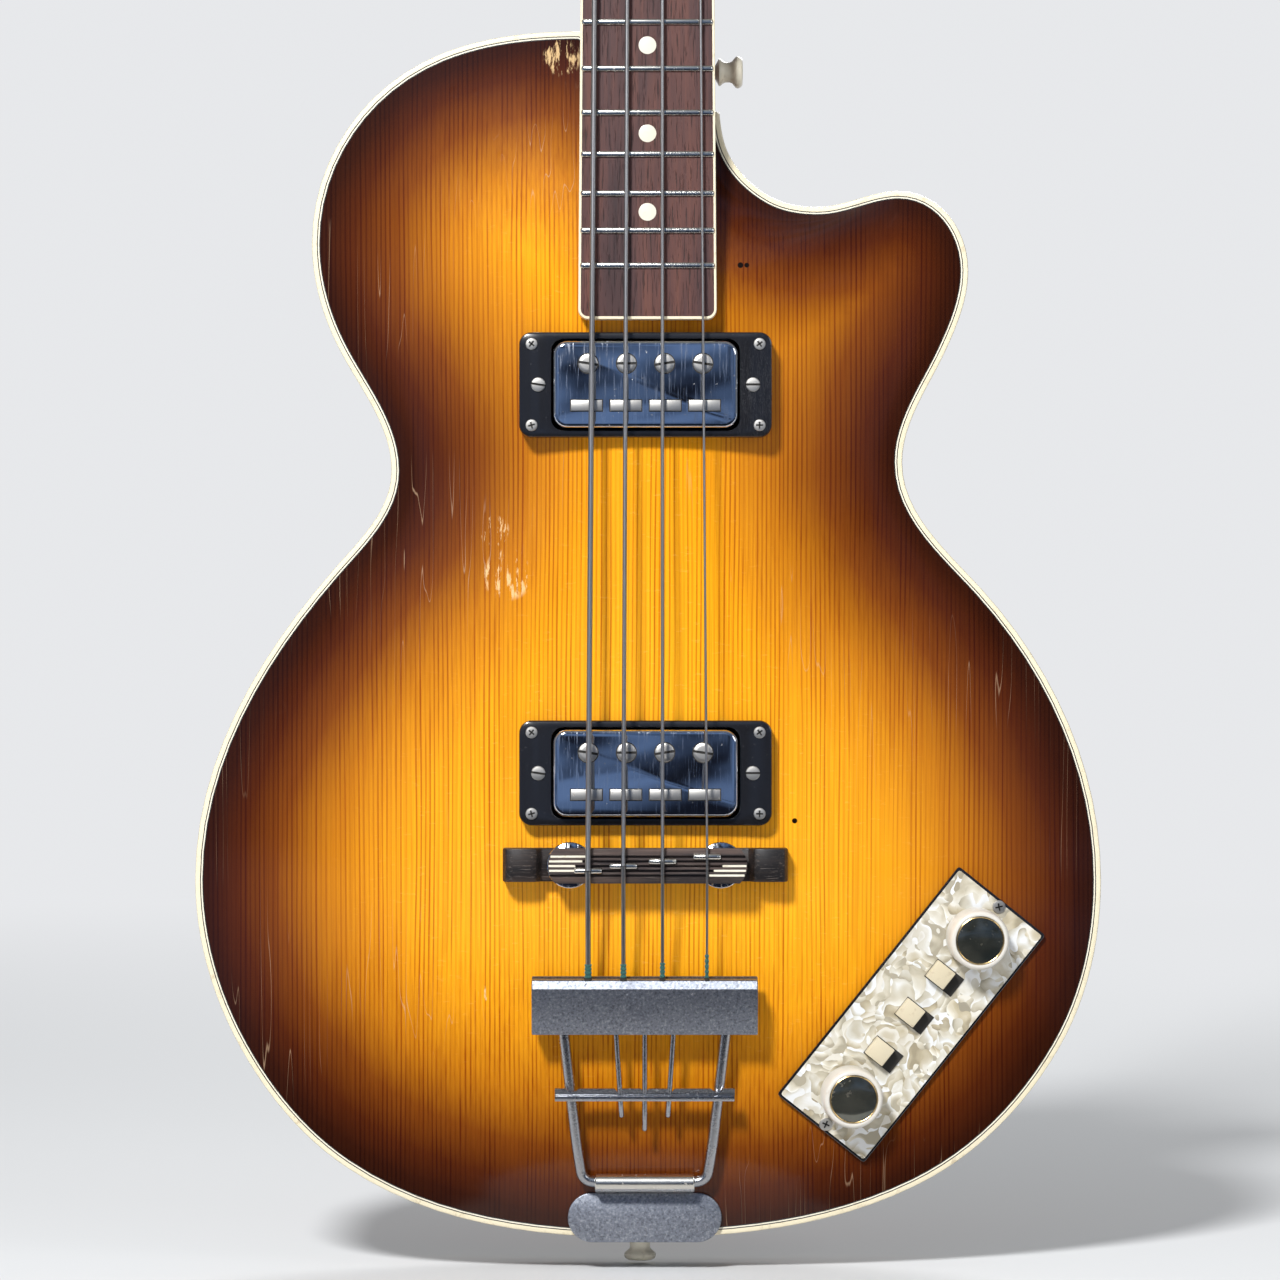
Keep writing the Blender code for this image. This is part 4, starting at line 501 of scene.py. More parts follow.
def pearloid():
    """Swirled pearl sheet: curved flakes, each shaded from one side to the other at its own tilt."""
    s = Shader("pearl_sheet")
    away = s.vectors("MULTIPLY_ADD", s.noise(70, 2, output="Color"), (0.030, 0.030, 0.030), s.place)
    cells = {"Vector": away, "Scale": 195.0, "Randomness": 1.0}
    hues = s.node("ShaderNodeTexVoronoi", None, cells, "Color")
    middle = s.node("ShaderNodeTexVoronoi", None, cells, "Position")
    lean = s.vectors("SUBTRACT", hues, (0.5, 0.5, 0.5))
    slope = s.vectors("DOT_PRODUCT", s.vectors("SUBTRACT", away, middle), lean, output="Value") * 520
    tilt = s.axis("X", hues)
    stops = (
        (0.10, (0.42, 0.38, 0.29)),
        (0.34, (0.62, 0.57, 0.45)),
        (0.55, (0.74, 0.71, 0.62)),
        (0.78, (0.92, 0.93, 0.93)),
    )
    tone = s.colours(tilt * 0.5 + slope * 0.5 + s.noise(420, 2, away) * 0.3 + 0.1, *stops)
    tone = s.mix(s.axis("Y", hues).ramp(0.6, 0.8) * 0.45, tone, (0.80, 0.70, 0.50), "MULTIPLY")
    relief = s.bump(s.noise(30, 2), 0.0001, 0.4)
    return s.surface(tone, 0.24, Metallic=tilt * 0.2, Coat_Weight=0.8, Coat_Roughness=0.05, Normal=relief)


def silk():
    """Thread wound round the string: the turns follow the piece's own UV map."""
    s = Shader("green_silk")
    map_uv = s.node("ShaderNodeUVMap", {"uv_map": "wound"})
    wave = ((s.axis("X", map_uv) + s.axis("Y", map_uv) * 2) * math.tau).sine()
    # Painted shade and light: each turn of thread is dark in the groove between turns and light on its crest
    tone = s.mix(wave.ramp(-1, 1), (0.010, 0.075, 0.065), (0.060, 0.300, 0.240))
    fuzz = s.noise(2500, 3)
    tone = s.mix(fuzz.ramp(0.5, 0.8) * 0.5, tone, (0.12, 0.42, 0.34))
    return s.surface(tone, 0.75, Normal=s.bump(wave + fuzz, 0.00015, 0.8), Sheen_Weight=0.3)


def string_steel():
    s = Shader("flat_wound_steel")
    wave = (s.axis("Z") * (math.tau * 1100)).sine()
    cloud = s.streaks((400, 400, 12))
    tone = s.mix(cloud.ramp(0.4, 0.75) * 0.6, (0.38, 0.375, 0.37), (0.19, 0.18, 0.17))
    return s.surface(tone, 0.30 + cloud * 0.15, Metallic=0.95, Normal=s.bump(wave, 0.000004, 0.2))


def mirror_cap():
    """The knobs' dark mirror caps."""
    s = Shader("dark_mirror_cap")
    cloud = s.noise(70, 3)
    dust = s.noise(500, 3).ramp(0.62, 0.72)
    tone = s.mix(cloud.ramp(0.35, 0.7), (0.07, 0.08, 0.07), (0.19, 0.19, 0.155))
    tone = s.mix(dust * 0.4, tone, (0.35, 0.30, 0.22))
    rough = 0.08 + dust * 0.3 + cloud * 0.05
    return s.surface(tone, rough, Metallic=0.8, Coat_Weight=1.0, Coat_Roughness=0.03)


# One material for each finish of the record and of the added pieces
LOOKS = {
    "sunburst": sunburst(),
    "side_lacquer": side_lacquer(),
    "back_burst": back_burst(),
    "ivory": aged_plastic("aged_ivory_binding", BONE, DIRT),
    "white_line": aged_plastic("white_line", (0.80, 0.77, 0.66), DIRT),
    "black_line": aged_plastic("black_line", (0.016, 0.014, 0.013), SOFT_SHADOW),
    "maple": neck_maple(),
    "spruce": raw_spruce(),
    "rosewood": rosewood(),
    "ebony": ebony(),
    "worn_ebony": ebony("worn_ebony", 3.6),
    "chrome": metal("chrome", (0.66, 0.69, 0.74), 0.06, (0.44, 0.45, 0.48), 0.4, 0.00001, scuffs=0.5),
    "head_lacquer": black_plastic("head_lacquer"),
    "nickel": metal("worn_nickel", (0.42, 0.43, 0.45), 0.27, (0.22, 0.22, 0.22), 0.8, 0.00012, 0.2),
    "speckled_nickel": metal(
        "speckled_nickel", (0.28, 0.30, 0.345), 0.46, (0.14, 0.15, 0.18), 0.9, 0.0001, 0.5
    ),
    "fret_nickel": metal("fret_nickel", (0.72, 0.70, 0.64), 0.24, (0.45, 0.40, 0.30), 0.5),
    "screw_steel": metal("screw_steel", (0.58, 0.56, 0.52), 0.46, (0.42, 0.38, 0.33)),
    "dot_pearl": aged_plastic("dot_pearl", (0.74, 0.71, 0.61), PEARL_DIRT, 0.22, 0.5),
    "steel": metal("steel", (0.50, 0.50, 0.50), 0.34, (0.30, 0.27, 0.23)),
    "brass": metal("brass", (0.62, 0.44, 0.20), 0.26, (0.32, 0.20, 0.10)),
    "string_steel": string_steel(),
    "silk": silk(),
    "black_plastic": black_plastic(),
    "cream_plastic": aged_plastic("cream_plastic", (0.84, 0.79, 0.66), DIRT, 0.28, 0.5),
    "knob_white": aged_plastic("knob_white", (0.70, 0.68, 0.64), PEARL_DIRT, 0.24, 0.6),
    "slider_plastic": aged_plastic("slider_plastic", (0.66, 0.59, 0.44), DIRT, 0.42, 0.1),
    "pearl": pearloid(),
    "mirror_cap": mirror_cap(),
    # Painted shade: a near-black look for the boxes set in slots, gaps, notches and bores, where there is
    # only shade
    "painted_recess_shade": aged_plastic("recess_shade_paint", (0.020, 0.018, 0.016), SOFT_SHADOW, 0.6, 0.0),
}


# Shapes


def linked(name, data):
    obj = bpy.data.objects.new(name, data)
    bpy.context.collection.objects.link(obj)
    return obj


def as_object(name, bm):
    mesh = bpy.data.meshes.new(name)
    bm.to_mesh(mesh)
    bm.free()
    return linked(name, mesh)


def finished(name, bm, look, place=FRONT, body="root", slot=None, replaces=(), angle=32, unit=MM):
    """Writes a bmesh in millimetres as a finished piece that rides on a body."""
    obj = as_object(name, moved(bm, place @ Matrix.Scale(unit, 4)))
    obj.data.shade_smooth()
    obj.data.set_sharp_from_angle(angle=math.radians(angle))
    obj.data.materials.append(LOOKS[look])
    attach(obj, body)
    if replaces:
        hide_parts(*replaces)
    return obj


def on_neck(name, bm, look, slot, replaces=(), angle=32):
    finished(name, bm, look, NECK, "root", slot, replaces, angle)


def on_head(name, bm, look, slot, replaces=(), angle=32):
    finished(name, bm, look, HEAD, "root", slot, replaces, angle)


def on_tail(name, bm, look, replaces=(), angle=32):
    finished(name, bm, look, TAIL, "tailpiece", "nickel", replaces, angle)


def moved(bm, matrix):
    bmesh.ops.transform(bm, matrix=matrix, verts=bm.verts)
    return bm


def joined(*parts):
    """One bmesh of several."""
    whole = parts[0]
    for part in parts[1:]:
        mesh = bpy.data.meshes.new("part")
        part.to_mesh(mesh)
        part.free()
        whole.from_mesh(mesh)
        bpy.data.meshes.remove(mesh)
    return whole


def points_of(geometry):
    return [item for item in geometry if isinstance(item, bmesh.types.BMVert)]


def raised(bm, height, made):
    """Lifts the points of freshly made geometry."""
    bmesh.ops.translate(bm, vec=(0, 0, height), verts=points_of(made["geom"]))


def faced_out(bm):
    bmesh.ops.recalc_face_normals(bm, faces=bm.faces)
    return bm


def softened(bm, width, segments=2, angle=35):
    """Rounds the edges that are sharper than the angle."""
    limit = math.radians(angle)
    edges = [e for e in bm.edges if len(e.link_faces) == 2 and e.calc_face_angle(0) > limit]
    bmesh.ops.bevel(
        bm, geom=edges, offset=width, segments=segments, profile=0.5, material=-1,
        affect="EDGES", clamp_overlap=True,
    )
    return bm


def slab(points, low, high):
    """A closed flat piece from plan points, counter-clockwise."""
    bm = bmesh.new()
    face = bm.faces.new([bm.verts.new((x, y, low)) for x, y in points])
    raised(bm, high - low, bmesh.ops.extrude_face_region(bm, geom=[face], use_keep_orig=True))
    return faced_out(bm)


def sink(bm, faces, depth):
    """Presses faces into the piece, with walls around them."""
    raised(bm, -depth, bmesh.ops.extrude_face_region(bm, geom=faces))
    bmesh.ops.delete(bm, geom=faces, context="FACES_ONLY")
    return bm


def cut_across(bm, place, normal, dist=1e-4, clear_outer=False):
    """Splits every face that a plane crosses, and can remove what lies beyond it."""
    geometry = bm.verts[:] + bm.edges[:] + bm.faces[:]
    return bmesh.ops.bisect_plane(
        bm, geom=geometry, plane_co=place, plane_no=normal, dist=dist, clear_outer=clear_outer
    )


def box(width, length, height, centre=(0, 0, 0)):
    bm = bmesh.new()
    matrix = Matrix.Translation(centre) @ Matrix.Diagonal((width, length, height, 1))
    bmesh.ops.create_cube(bm, size=1, matrix=matrix)
    return bm


def arc(radius, start, end, steps, x=0, y=0):
    """Plan points on a circle from one angle to another, both ends included."""
    angles = [math.radians(start + (end - start) * step / steps) for step in range(steps + 1)]
    return [(x + radius * math.cos(angle), y + radius * math.sin(angle)) for angle in angles]


def rounded(width, length, corner, steps=8, centre=(0, 0)):
    """An oblong in plan with round corners."""
    points = []
    for quarter, sx, sy in ((0, 1, 1), (1, -1, 1), (2, -1, -1), (3, 1, -1)):
        x = centre[0] + sx * (width / 2 - corner)
        y = centre[1] + sy * (length / 2 - corner)
        points += arc(corner, 90 * quarter, 90 * (quarter + 1), steps, x, y)
    return points


def at_level(points, z, across=1, along=1):
    """Plan points as a ring at a height, scaled across and along."""
    return [(x * across, y * along, z) for x, y in points]


def mirrored(points):
    """The points followed by their mirror images, back from the last, which lies on the axis."""
    return points + [(-x, y) for x, y in points[-2::-1]]


def turned(profile, steps):
    """A round piece about Z from (radius, height) points."""
    bm = bmesh.new()
    line = [bm.verts.new((radius, 0, height)) for radius, height in profile]
    edges = [bm.edges.new(pair) for pair in zip(line, line[1:])]
    bmesh.ops.spin(
        bm, geom=line + edges, cent=(0, 0, 0), axis=(0, 0, 1), angle=math.tau, steps=steps, use_merge=True
    )
    bmesh.ops.remove_doubles(bm, verts=bm.verts, dist=1e-4)
    return faced_out(bm)


def rod(radius, low, high, steps):
    return turned([(0, low), (radius, low), (radius, high), (0, high)], steps)


def lofted(rings, caps=True, closed=False):
    """A skin through rings of points with equal counts."""
    bm = bmesh.new()
    loops = []
    for ring in rings:
        verts = [bm.verts.new(point) for point in ring]
        loops.append([bm.edges.new((a, b)) for a, b in zip(verts, verts[1:] + verts[:1])])
    pairs = list(zip(loops, loops[1:]))
    if closed:
        pairs.append((loops[-1], loops[0]))
    for near, far in pairs:
        bmesh.ops.bridge_loops(bm, edges=near + far)
    if caps and not closed:
        bmesh.ops.contextual_create(bm, geom=loops[0])
        bmesh.ops.contextual_create(bm, geom=loops[-1])
    return faced_out(bm)


def tube(points, radius, sides, uv=None):
    """A round bar through points, with one radius or a list of them, and a UV map if it has a name."""
    bm = bmesh.new()
    rings = []
    up = Vector((0.03, 0.05, 1)).normalized()
    points = [Vector(p) for p in points]
    for i, here in enumerate(points):
        along = (points[min(i + 1, len(points) - 1)] - points[max(i - 1, 0)]).normalized()
        side = along.cross(up)
        if side.length < 0.05:
            side = along.cross(Vector((1, 0, 0)))
        side.normalize()
        up = side.cross(along).normalized()
        size = radius[i] if isinstance(radius, list) else radius
        ring = []
        for step in range(sides):
            angle = math.tau * step / sides
            ring.append(bm.verts.new(here + side * (size * math.cos(angle)) + up * (size * math.sin(angle))))
        rings.append(ring)
    layer = bm.loops.layers.uv.new(uv) if uv else None
    run = 0.0
    for i, (near, far) in enumerate(zip(rings, rings[1:])):
        end = run + (points[i + 1] - points[i]).length
        for k in range(sides):
            m = (k + 1) % sides
            face = bm.faces.new((near[k], near[m], far[m], far[k]))
            if layer:
                places = ((k, run), (k + 1, run), (k + 1, end), (k, end))
                for loop, (across, along) in zip(face.loops, places):
                    loop[layer].uv = (across / sides, along)
        run = end
    bm.faces.new(rings[0])
    bm.faces.new(rings[-1][::-1])
    return faced_out(bm)


def bezier(start, end, steps):
    """Plan points from one (x, y, heading) to the next, without the last."""
    a = Vector(start[:2])
    d = Vector(end[:2])
    bend = math.radians((end[2] - start[2] + 180) % 360 - 180)
    reach = (d - a).length / (3 * math.cos(bend / 4) ** 2)
    b = a + reach * Vector((math.cos(math.radians(start[2])), math.sin(math.radians(start[2]))))
    c = d - reach * Vector((math.cos(math.radians(end[2])), math.sin(math.radians(end[2]))))
    points = []
    for step in range(steps):
        t = step / steps
        s = 1 - t
        points.append(s**3 * a + 3 * s * s * t * b + 3 * s * t * t * c + t**3 * d)
    return points


def hermite(t, start, end, leave, arrive):
    """A place on the curve between two values or points with their slopes."""
    curve = (2 * t**3 - 3 * t * t + 1) * start + (t**3 - 2 * t * t + t) * leave
    return curve + (3 * t * t - 2 * t**3) * end + (t**3 - t * t) * arrive


# Body


def outline():
    points = []
    for start, end in zip(OUTLINE, OUTLINE[1:]):
        points += bezier(start, end, CURVE_STEPS)
    end = Vector(OUTLINE[-1][:2])
    return points + [end.lerp(points[0], step / 8) for step in range(8)]


def inset(points, distance):
    """The outline drawn in by a distance."""
    moved_in = []
    for i, point in enumerate(points):
        before = (point - points[i - 1]).normalized()
        after = (points[(i + 1) % len(points)] - point).normalized()
        along = (before + after).normalized()
        inward = Vector((-along.y, along.x))
        share = max(0.5, inward.dot(Vector((-before.y, before.x))))
        moved_in.append(point + inward * (distance / share))
    return moved_in


EDGE = outline()
EDGE_TREE = kdtree.KDTree(len(EDGE) * 4)
for number, (here, there) in enumerate(zip(EDGE, EDGE[1:] + EDGE[:1])):
    for quarter in range(4):
        EDGE_TREE.insert((*here.lerp(there, quarter / 4), 0), number * 4 + quarter)
EDGE_TREE.balance()


def edge_distance(x, y):
    return EDGE_TREE.find((x, y, 0))[2]


def spine(y):
    """The nearest place on the line that the arch climbs to."""
    return Vector((0, min(max(y, SPINE_LOW), SPINE_HIGH)))


def rise(share):
    part = min(1, share / ARCH_RUN)
    return part * part * (3 - 2 * part)


def arch_height(x, y):
    """Height of the top over its rim plane at a place in plan, as the part's source has it."""
    centre = spine(y)
    ray = Vector((x, y)) - centre
    far = None
    for a, b in zip(EDGE, EDGE[1:] + EDGE[:1]):
        side = b - a
        cross = ray.x * side.y - ray.y * side.x
        if abs(cross) < 1e-9:
            continue
        offset = a - centre
        along = (offset.x * side.y - offset.y * side.x) / cross
        across = (offset.x * ray.y - offset.y * ray.x) / cross
        if along > 0 and 0 <= across <= 1 and (far is None or along < far):
            far = along
    return TOP_ARCH if far is None else TOP_ARCH * rise(max(0, 1 - 1 / far))


def cut_hole(bm, points, low, high):
    """Removes the sheet inside convex plan points, after splitting it along the lines of their sides."""
    points = [Vector(point) for point in points]
    sides = list(zip(points, points[1:] + points[:1]))

    def centres():
        for face in bm.faces:
            centre = face.calc_center_median()
            if low < centre.z < high:
                yield face, centre.xy

    for a, b in sides:
        along = (b - a).normalized()
        near = [face for face, centre in centres() if (centre - a).length < 90]
        geometry = near + list({e for f in near for e in f.edges}) + list({v for f in near for v in f.verts})
        normal = (along.y, -along.x, 0)
        bmesh.ops.bisect_plane(bm, geom=geometry, plane_co=(*a, 0), plane_no=normal, dist=1e-4)
    gone = [face for face, centre in centres() if all((b - a).cross(centre - a) > 0 for a, b in sides)]
    bmesh.ops.delete(bm, geom=gone, context="FACES")


def eased(bm, passes=2):
    """Evens out the sheet's heights: each point takes the mean of the sheet round it, and the rim stays."""
    for _ in range(passes):
        tree = bvhtree.BVHTree.FromBMesh(bm)
        heights = {}
        for vert in bm.verts:
            x, y, z = vert.co
            reach = min(20, 0.9 * (edge_distance(x, y) - TRIM_WIDTH))
            if reach < 0.5:
                continue
            total, count = 2 * z, 2
            for ring, share in ((10, 1), (6, 0.5)):
                for at_x, at_y in arc(reach * share, 0, 360, ring, x, y)[:-1]:
                    hit = tree.ray_cast(Vector((at_x, at_y, 60)), Vector((0, 0, -1)))[0]
                    if hit:
                        total, count = total + hit.z, count + 1
            heights[vert] = total / count
        for vert, height in heights.items():
            vert.co.z = height


def arched_plate(name, look, side, slot, replaces):
    """A carved plate inside the bindings; side is 1 for the top and -1 for the back."""
    height = TOP_ARCH if side > 0 else BACK_ARCH
    rings = []
    count = 18
    for step in range(count + 1):
        share = 0.97 * step / count
        ring = [point.lerp(spine(point.y), share) for point in inset(EDGE, TRIM_WIDTH)]
        rings.append(at_level(ring, height * rise(share)))
    bm = lofted(rings, caps=False)
    open_edges = [e for e in bm.edges if len(e.link_faces) == 1]
    bmesh.ops.contextual_create(bm, geom=[e for e in open_edges if e.verts[0].co.z > 0.1])
    bmesh.ops.triangulate(bm, faces=[f for f in bm.faces if len(f.verts) > 4])
    eased(bm)
    if side > 0:
        for y in sorted(PICKUP_Y.values()):
            cut_hole(bm, rounded(72, 34, 2, 1, (PICKUP_X, y)), 2, 20)
    outer = [e for e in bm.edges if len(e.link_faces) == 1 and all(v.co.z < 0.01 for v in e.verts)]
    raised(bm, -2, bmesh.ops.extrude_edge_only(bm, edges=outer))
    faced_out(bm)
    peak = max(bm.faces, key=lambda f: f.calc_center_median().z)
    if peak.normal.z < 0:
        bmesh.ops.reverse_faces(bm, faces=bm.faces)
    if side < 0:
        bmesh.ops.scale(bm, verts=bm.verts, vec=(1, 1, -1))
        bmesh.ops.translate(bm, verts=bm.verts, vec=(0, 0, -RIB_DEPTH))
        bmesh.ops.reverse_faces(bm, faces=bm.faces)
    distances = [edge_distance(v.co.x, v.co.y) for v in bm.verts]
    obj = finished(name, bm, look, slot=slot, replaces=replaces, angle=60)
    attribute = obj.data.attributes.new("edge_distance", "FLOAT", "POINT")
    attribute.data.foreach_set("value", distances)


def band(name, look, profile, slot, replaces=()):
    """A closed band along the body's edge, from (inset, height) points."""
    columns = [at_level(inset(EDGE, distance), height) for distance, height in profile]
    finished(name, lofted(columns, closed=True), look, slot=slot, replaces=replaces)


def body():
    arched_plate("arched_top", "sunburst", 1, "sunburst", ["body_top"])
    arched_plate("arched_back", "back_burst", -1, "side_lacquer", ["body_back"])
    low = -RIB_DEPTH + PLATE_THICK
    sides = [(0.15, -PLATE_THICK), (0.05, -PLATE_THICK - 0.2), (0.0, -12), (0.0, -28), (0.05, low + 0.2)]
    sides += [(0.15, low), (3.5, low + 0.3), (3.5, -PLATE_THICK - 0.3)]
    band("rib_sides", "side_lacquer", sides, "side_lacquer", ["body_sides"])
    lines = (
        (1, 1.8, 2.15, "black_line", "black_plastic"),
        (2, 2.15, 2.65, "white_line", "ivory"),
        (3, 2.65, TRIM_WIDTH + 0.08, "black_line", "black_plastic"),
    )
    for word, high, way in (("top", 0, 1), ("back", -RIB_DEPTH, -1)):
        deep = high - way * PLATE_THICK
        ivory = [(0.0, deep), (0.0, high - way * 0.7), (0.25, high - way * 0.2), (0.7, high)]
        ivory += [(1.8, high + way * 0.02), (1.8, deep)]
        band(f"{word}_ivory_strip", "ivory", ivory, "ivory", [f"{word}_binding"])
        for number, near, far, look, slot in lines:
            strip = [(near, deep), (near, high + way * 0.02), (far, high + way * 0.03), (far, deep)]
            band(f"{word}_purfling_{number}", look, strip, slot)


# Stage


def stage_floor():
    """A wide pale floor that fades into the pale surroundings."""
    bm = bmesh.new()
    bmesh.ops.create_circle(bm, cap_ends=True, radius=40, segments=96)
    floor = as_object("floor", bm)
    floor.location = (0, 0, CAD_BOX[0][2] - 0.0015)
    s = Shader("pale_floor")
    far = s.vectors("LENGTH", s.place, output="Value").ramp(0.5, 2.6)
    near = s.node("ShaderNodeBsdfPrincipled", None, {"Base Color": (0.70, 0.71, 0.72, 1), "Roughness": 0.9})
    floor.data.materials.append(s.ending(s.blended(far, near, s.glow("ShaderNodeEmission", PALE))))


def dark_card():
    """Two dark sheets that only reflections see, one standing behind the camera and one on the floor."""
    bm = bmesh.new()
    standing = shift(0.4, -5.0, 0.4) @ turn(90, "X") @ Matrix.Diagonal((9, 6, 1, 1))
    lying = shift(0.4, -2.6, CAD_BOX[0][2] - 0.0008) @ Matrix.Diagonal((9, 2.45, 1, 1))
    for where in (standing, lying):
        bmesh.ops.create_grid(bm, x_segments=1, y_segments=1, size=1, matrix=where)
    card = as_object("dark_card", bm)
    s = Shader("card_black")
    shade = s.glow("ShaderNodeEmission", (0.14, 0.22, 0.40))
    deep = s.glow("ShaderNodeEmission", (0.008, 0.010, 0.018))
    card.data.materials.append(s.ending(s.blended(s.noise(0.8, 2).ramp(0.35, 0.65), shade, deep)))
    card.visible_camera = False
    card.visible_diffuse = False
    card.visible_shadow = False


def pale_room():
    """The world: pale where the camera sees it, dim as a light."""
    s = Shader("pale_room", bpy.data.worlds)
    camera_ray = s.node("ShaderNodeLightPath", output="Is Camera Ray")
    seen = camera_ray.most(s.node("ShaderNodeLightPath", output="Is Transmission Ray"))
    soft = s.glow("ShaderNodeBackground", (0.92, 0.96, 1.0), 0.22)
    mixed = s.blended(seen, soft, s.glow("ShaderNodeBackground", PALE))
    bpy.context.scene.world = s.ending(mixed, "ShaderNodeOutputWorld")


def softboxes():
    for name, at, aim, size, power in (
        ("key_softbox", (-0.85, -2.2, 1.95), (0, 0, 0.34), 0.5, 108),
        ("fill_softbox", (2.3, -1.7, 1.3), (0, 0, 0.45), 1.3, 11),
        ("back_softbox", (0.6, 2.4, 1.7), (0, 0, 0.5), 1.2, 34),
    ):
        light = bpy.data.lights.new(name, "AREA")
        light.shape = "DISK"
        light.size = size
        light.energy = power
        lamp = linked(name, light)
        lamp.location = at
        lamp.rotation_euler = (Vector(aim) - Vector(at)).to_track_quat("-Z", "Y").to_euler()


def camera():
    lens = bpy.data.cameras.new("camera")
    lens.lens = 139.7
    lens.sensor_width = 36
    seen_from = linked("camera", lens)
    seen_from.location = (0.0, -1.8305, 0.2283)
    seen_from.rotation_euler = (math.radians(90), 0, 0)
    bpy.context.scene.camera = seen_from
    bpy.context.scene.view_settings.view_transform = "Standard"


# Hardware


def screw_head(radius, height, slot, cross=False):
    """A domed head with a slot or a cross cut into it, standing on z = 0."""
    profile = [(0, 0), (radius, 0), (radius, height * 0.55), (radius * 0.9, height * 0.85)]
    bm = turned(profile + [(radius * 0.6, height), (0, height)], 24)
    for axis in ((1, 0, 0), (0, 1, 0)) if cross else ((1, 0, 0),):
        for side in (-slot / 2, slot / 2):
            cut_across(bm, Vector(axis) * side, Vector(axis))
    bm.normal_update()
    reach = radius * (0.72 if cross else 2)
    sunk = []
    for face in bm.faces:
        centre = face.calc_center_median()
        inside = abs(centre.x) < slot / 2 or (cross and abs(centre.y) < slot / 2)
        if inside and face.normal.z > 0.3 and centre.length < reach:
            sunk.append(face)
    return sink(bm, sunk, height * 0.75)


def screws(name, places, radius, height, slot, place, body="root", look="screw_steel", cross=True):
    """Equal screws as one piece, each turned a little differently, over dark boxes of painted shade in the
    slot of each.
    """
    parts = []
    shade_boxes = []
    for number, spot in enumerate(places):
        lean = (37 * number + 15) if cross else 90 + 9 * (number % 3 - 1)
        at = Matrix.Translation(spot) @ turn(lean, "Z")
        parts.append(moved(screw_head(radius, height, slot, cross), at))
        for angle in (0, 90) if cross else (0,):
            length = radius * (1.25 if cross else 1.9)
            # Painted shade: a dark box in the slot stands for the shade there
            floor = box(slot * 0.96, length, height * 0.3, (0, 0, height * 0.2))
            shade_boxes.append(moved(floor, at @ turn(angle, "Z")))
    finished(f"{name}_slot_shades", joined(*shade_boxes), "painted_recess_shade", place, body, "nickel")
    finished(name, joined(*parts), look, place, body, "nickel")


def half_board(distance, margin=0.0):
    return (42.5 + 7.5 * distance / BOARD_END) / 2 - margin


def fret_distance(number):
    return SCALE * (1 - 2 ** (-number / 12))


def dot_place(number):
    return -(fret_distance(number) + fret_distance(number - 1)) / 2


def board_points(margin):
    corner = 3.5 - margin
    start = half_board(-3.5, margin)
    half = half_board(BOARD_END, margin)
    points = [(start, 3.5), (-start, 3.5)]
    for side, angle in ((-1, 180), (1, 270)):
        points += arc(corner, angle, angle + 90, 6, side * (half - corner), corner - (BOARD_END - margin))
    return points


def fretted_neck():
    outer = board_points(0)
    inner = board_points(0.9)
    under = -5.5
    on_neck("rosewood_board", slab(inner, under, 0), "rosewood", "rosewood", ["fingerboard"])
    columns = [at_level(outer, under), at_level(outer, -0.25), at_level(outer, 0.03, 0.992)]
    columns += [at_level(inner, 0.03), at_level(inner, under)]
    on_neck("board_binding", lofted(columns, closed=True), "ivory", "ivory", ["fingerboard_binding"])
    frets = []
    for number in range(FRETS + 1):
        distance = fret_distance(number)
        half = half_board(distance, 0.5)
        left = [(-half, 0.25), (-half + 0.35, 0.8), (-half + 1.2, 1)]
        rings = []
        for x, size in left + [(-x, size) for x, size in left[::-1]]:
            ring = []
            for angle in (math.pi * step / 8 for step in range(9)):
                across = 1.15 * math.cos(angle) * (0.4 + 0.6 * size)
                ring.append((x, -distance + across, FRET_HEIGHT * size * math.sin(angle) ** 0.8))
            rings.append(ring)
        frets.append(lofted(rings))
    on_neck("frets", joined(*frets), "fret_nickel", "nickel", angle=50)
    dots = []
    side_dots = []
    for number in (3, 5, 7, 9, 12, 15, 17, 19, 21):
        y = dot_place(number)
        for x in (-8, 8) if number == 12 else (0,):
            dot = turned([(0, -0.8), (3.2, -0.8), (3.2, 0), (3.05, 0.04), (0, 0.04)], 28)
            dots.append(moved(dot, shift(x, y)))
        for along in (y + 3, y - 3) if number == 12 else (y,):
            dot = moved(rod(1, -0.4, 0.03, 14), turn(-90, "Y"))
            side_dots.append(moved(dot, shift(-half_board(-along), along, -2.2)))
    on_neck("board_dots", joined(*dots), "dot_pearl", "pearl")
    on_neck("side_dots", joined(*side_dots), "black_line", "black_plastic")


def flex_string(name, points, radius, body):
    wire = tube(points, radius, 12)
    return finished(name, wire, "string_steel", WORLD, body, "string_steel", unit=1, angle=60)


def string_points(letter):
    """World places of the string's stations: ball, saddle, zero fret, nut and the turns on its post."""
    radius = STRING_DIAMETER[letter] / 2
    x, y = POST_AT[letter]
    ball = TAIL @ (Vector((SADDLE_X[letter] - HINGE_X, BALL_Y, 0)) * MM)
    saddle = FRONT @ (Vector((SADDLE_X[letter], SADDLE_Y[letter], SADDLE_TOP + radius + 0.05)) * MM)
    zero = NECK @ (Vector((NUT_X[letter], 0, FRET_HEIGHT + radius + 0.05)) * MM)
    nut = NECK @ (Vector((NUT_X[letter], 7.5, FRET_HEIGHT + radius)) * MM)
    pitch = 2 * radius + 0.15
    start, way = (180, -1) if x > 0 else (0, 1)
    turns = 2.25
    steps = round(turns * 28)
    plan = arc(4.5 + radius, start, start + way * 360 * turns, steps, x, y)
    wraps = [HEAD @ (Vector((px, py, 9.5 - pitch * step / 28)) * MM) for step, (px, py) in enumerate(plan)]
    return ball, saddle, zero, nut, wraps


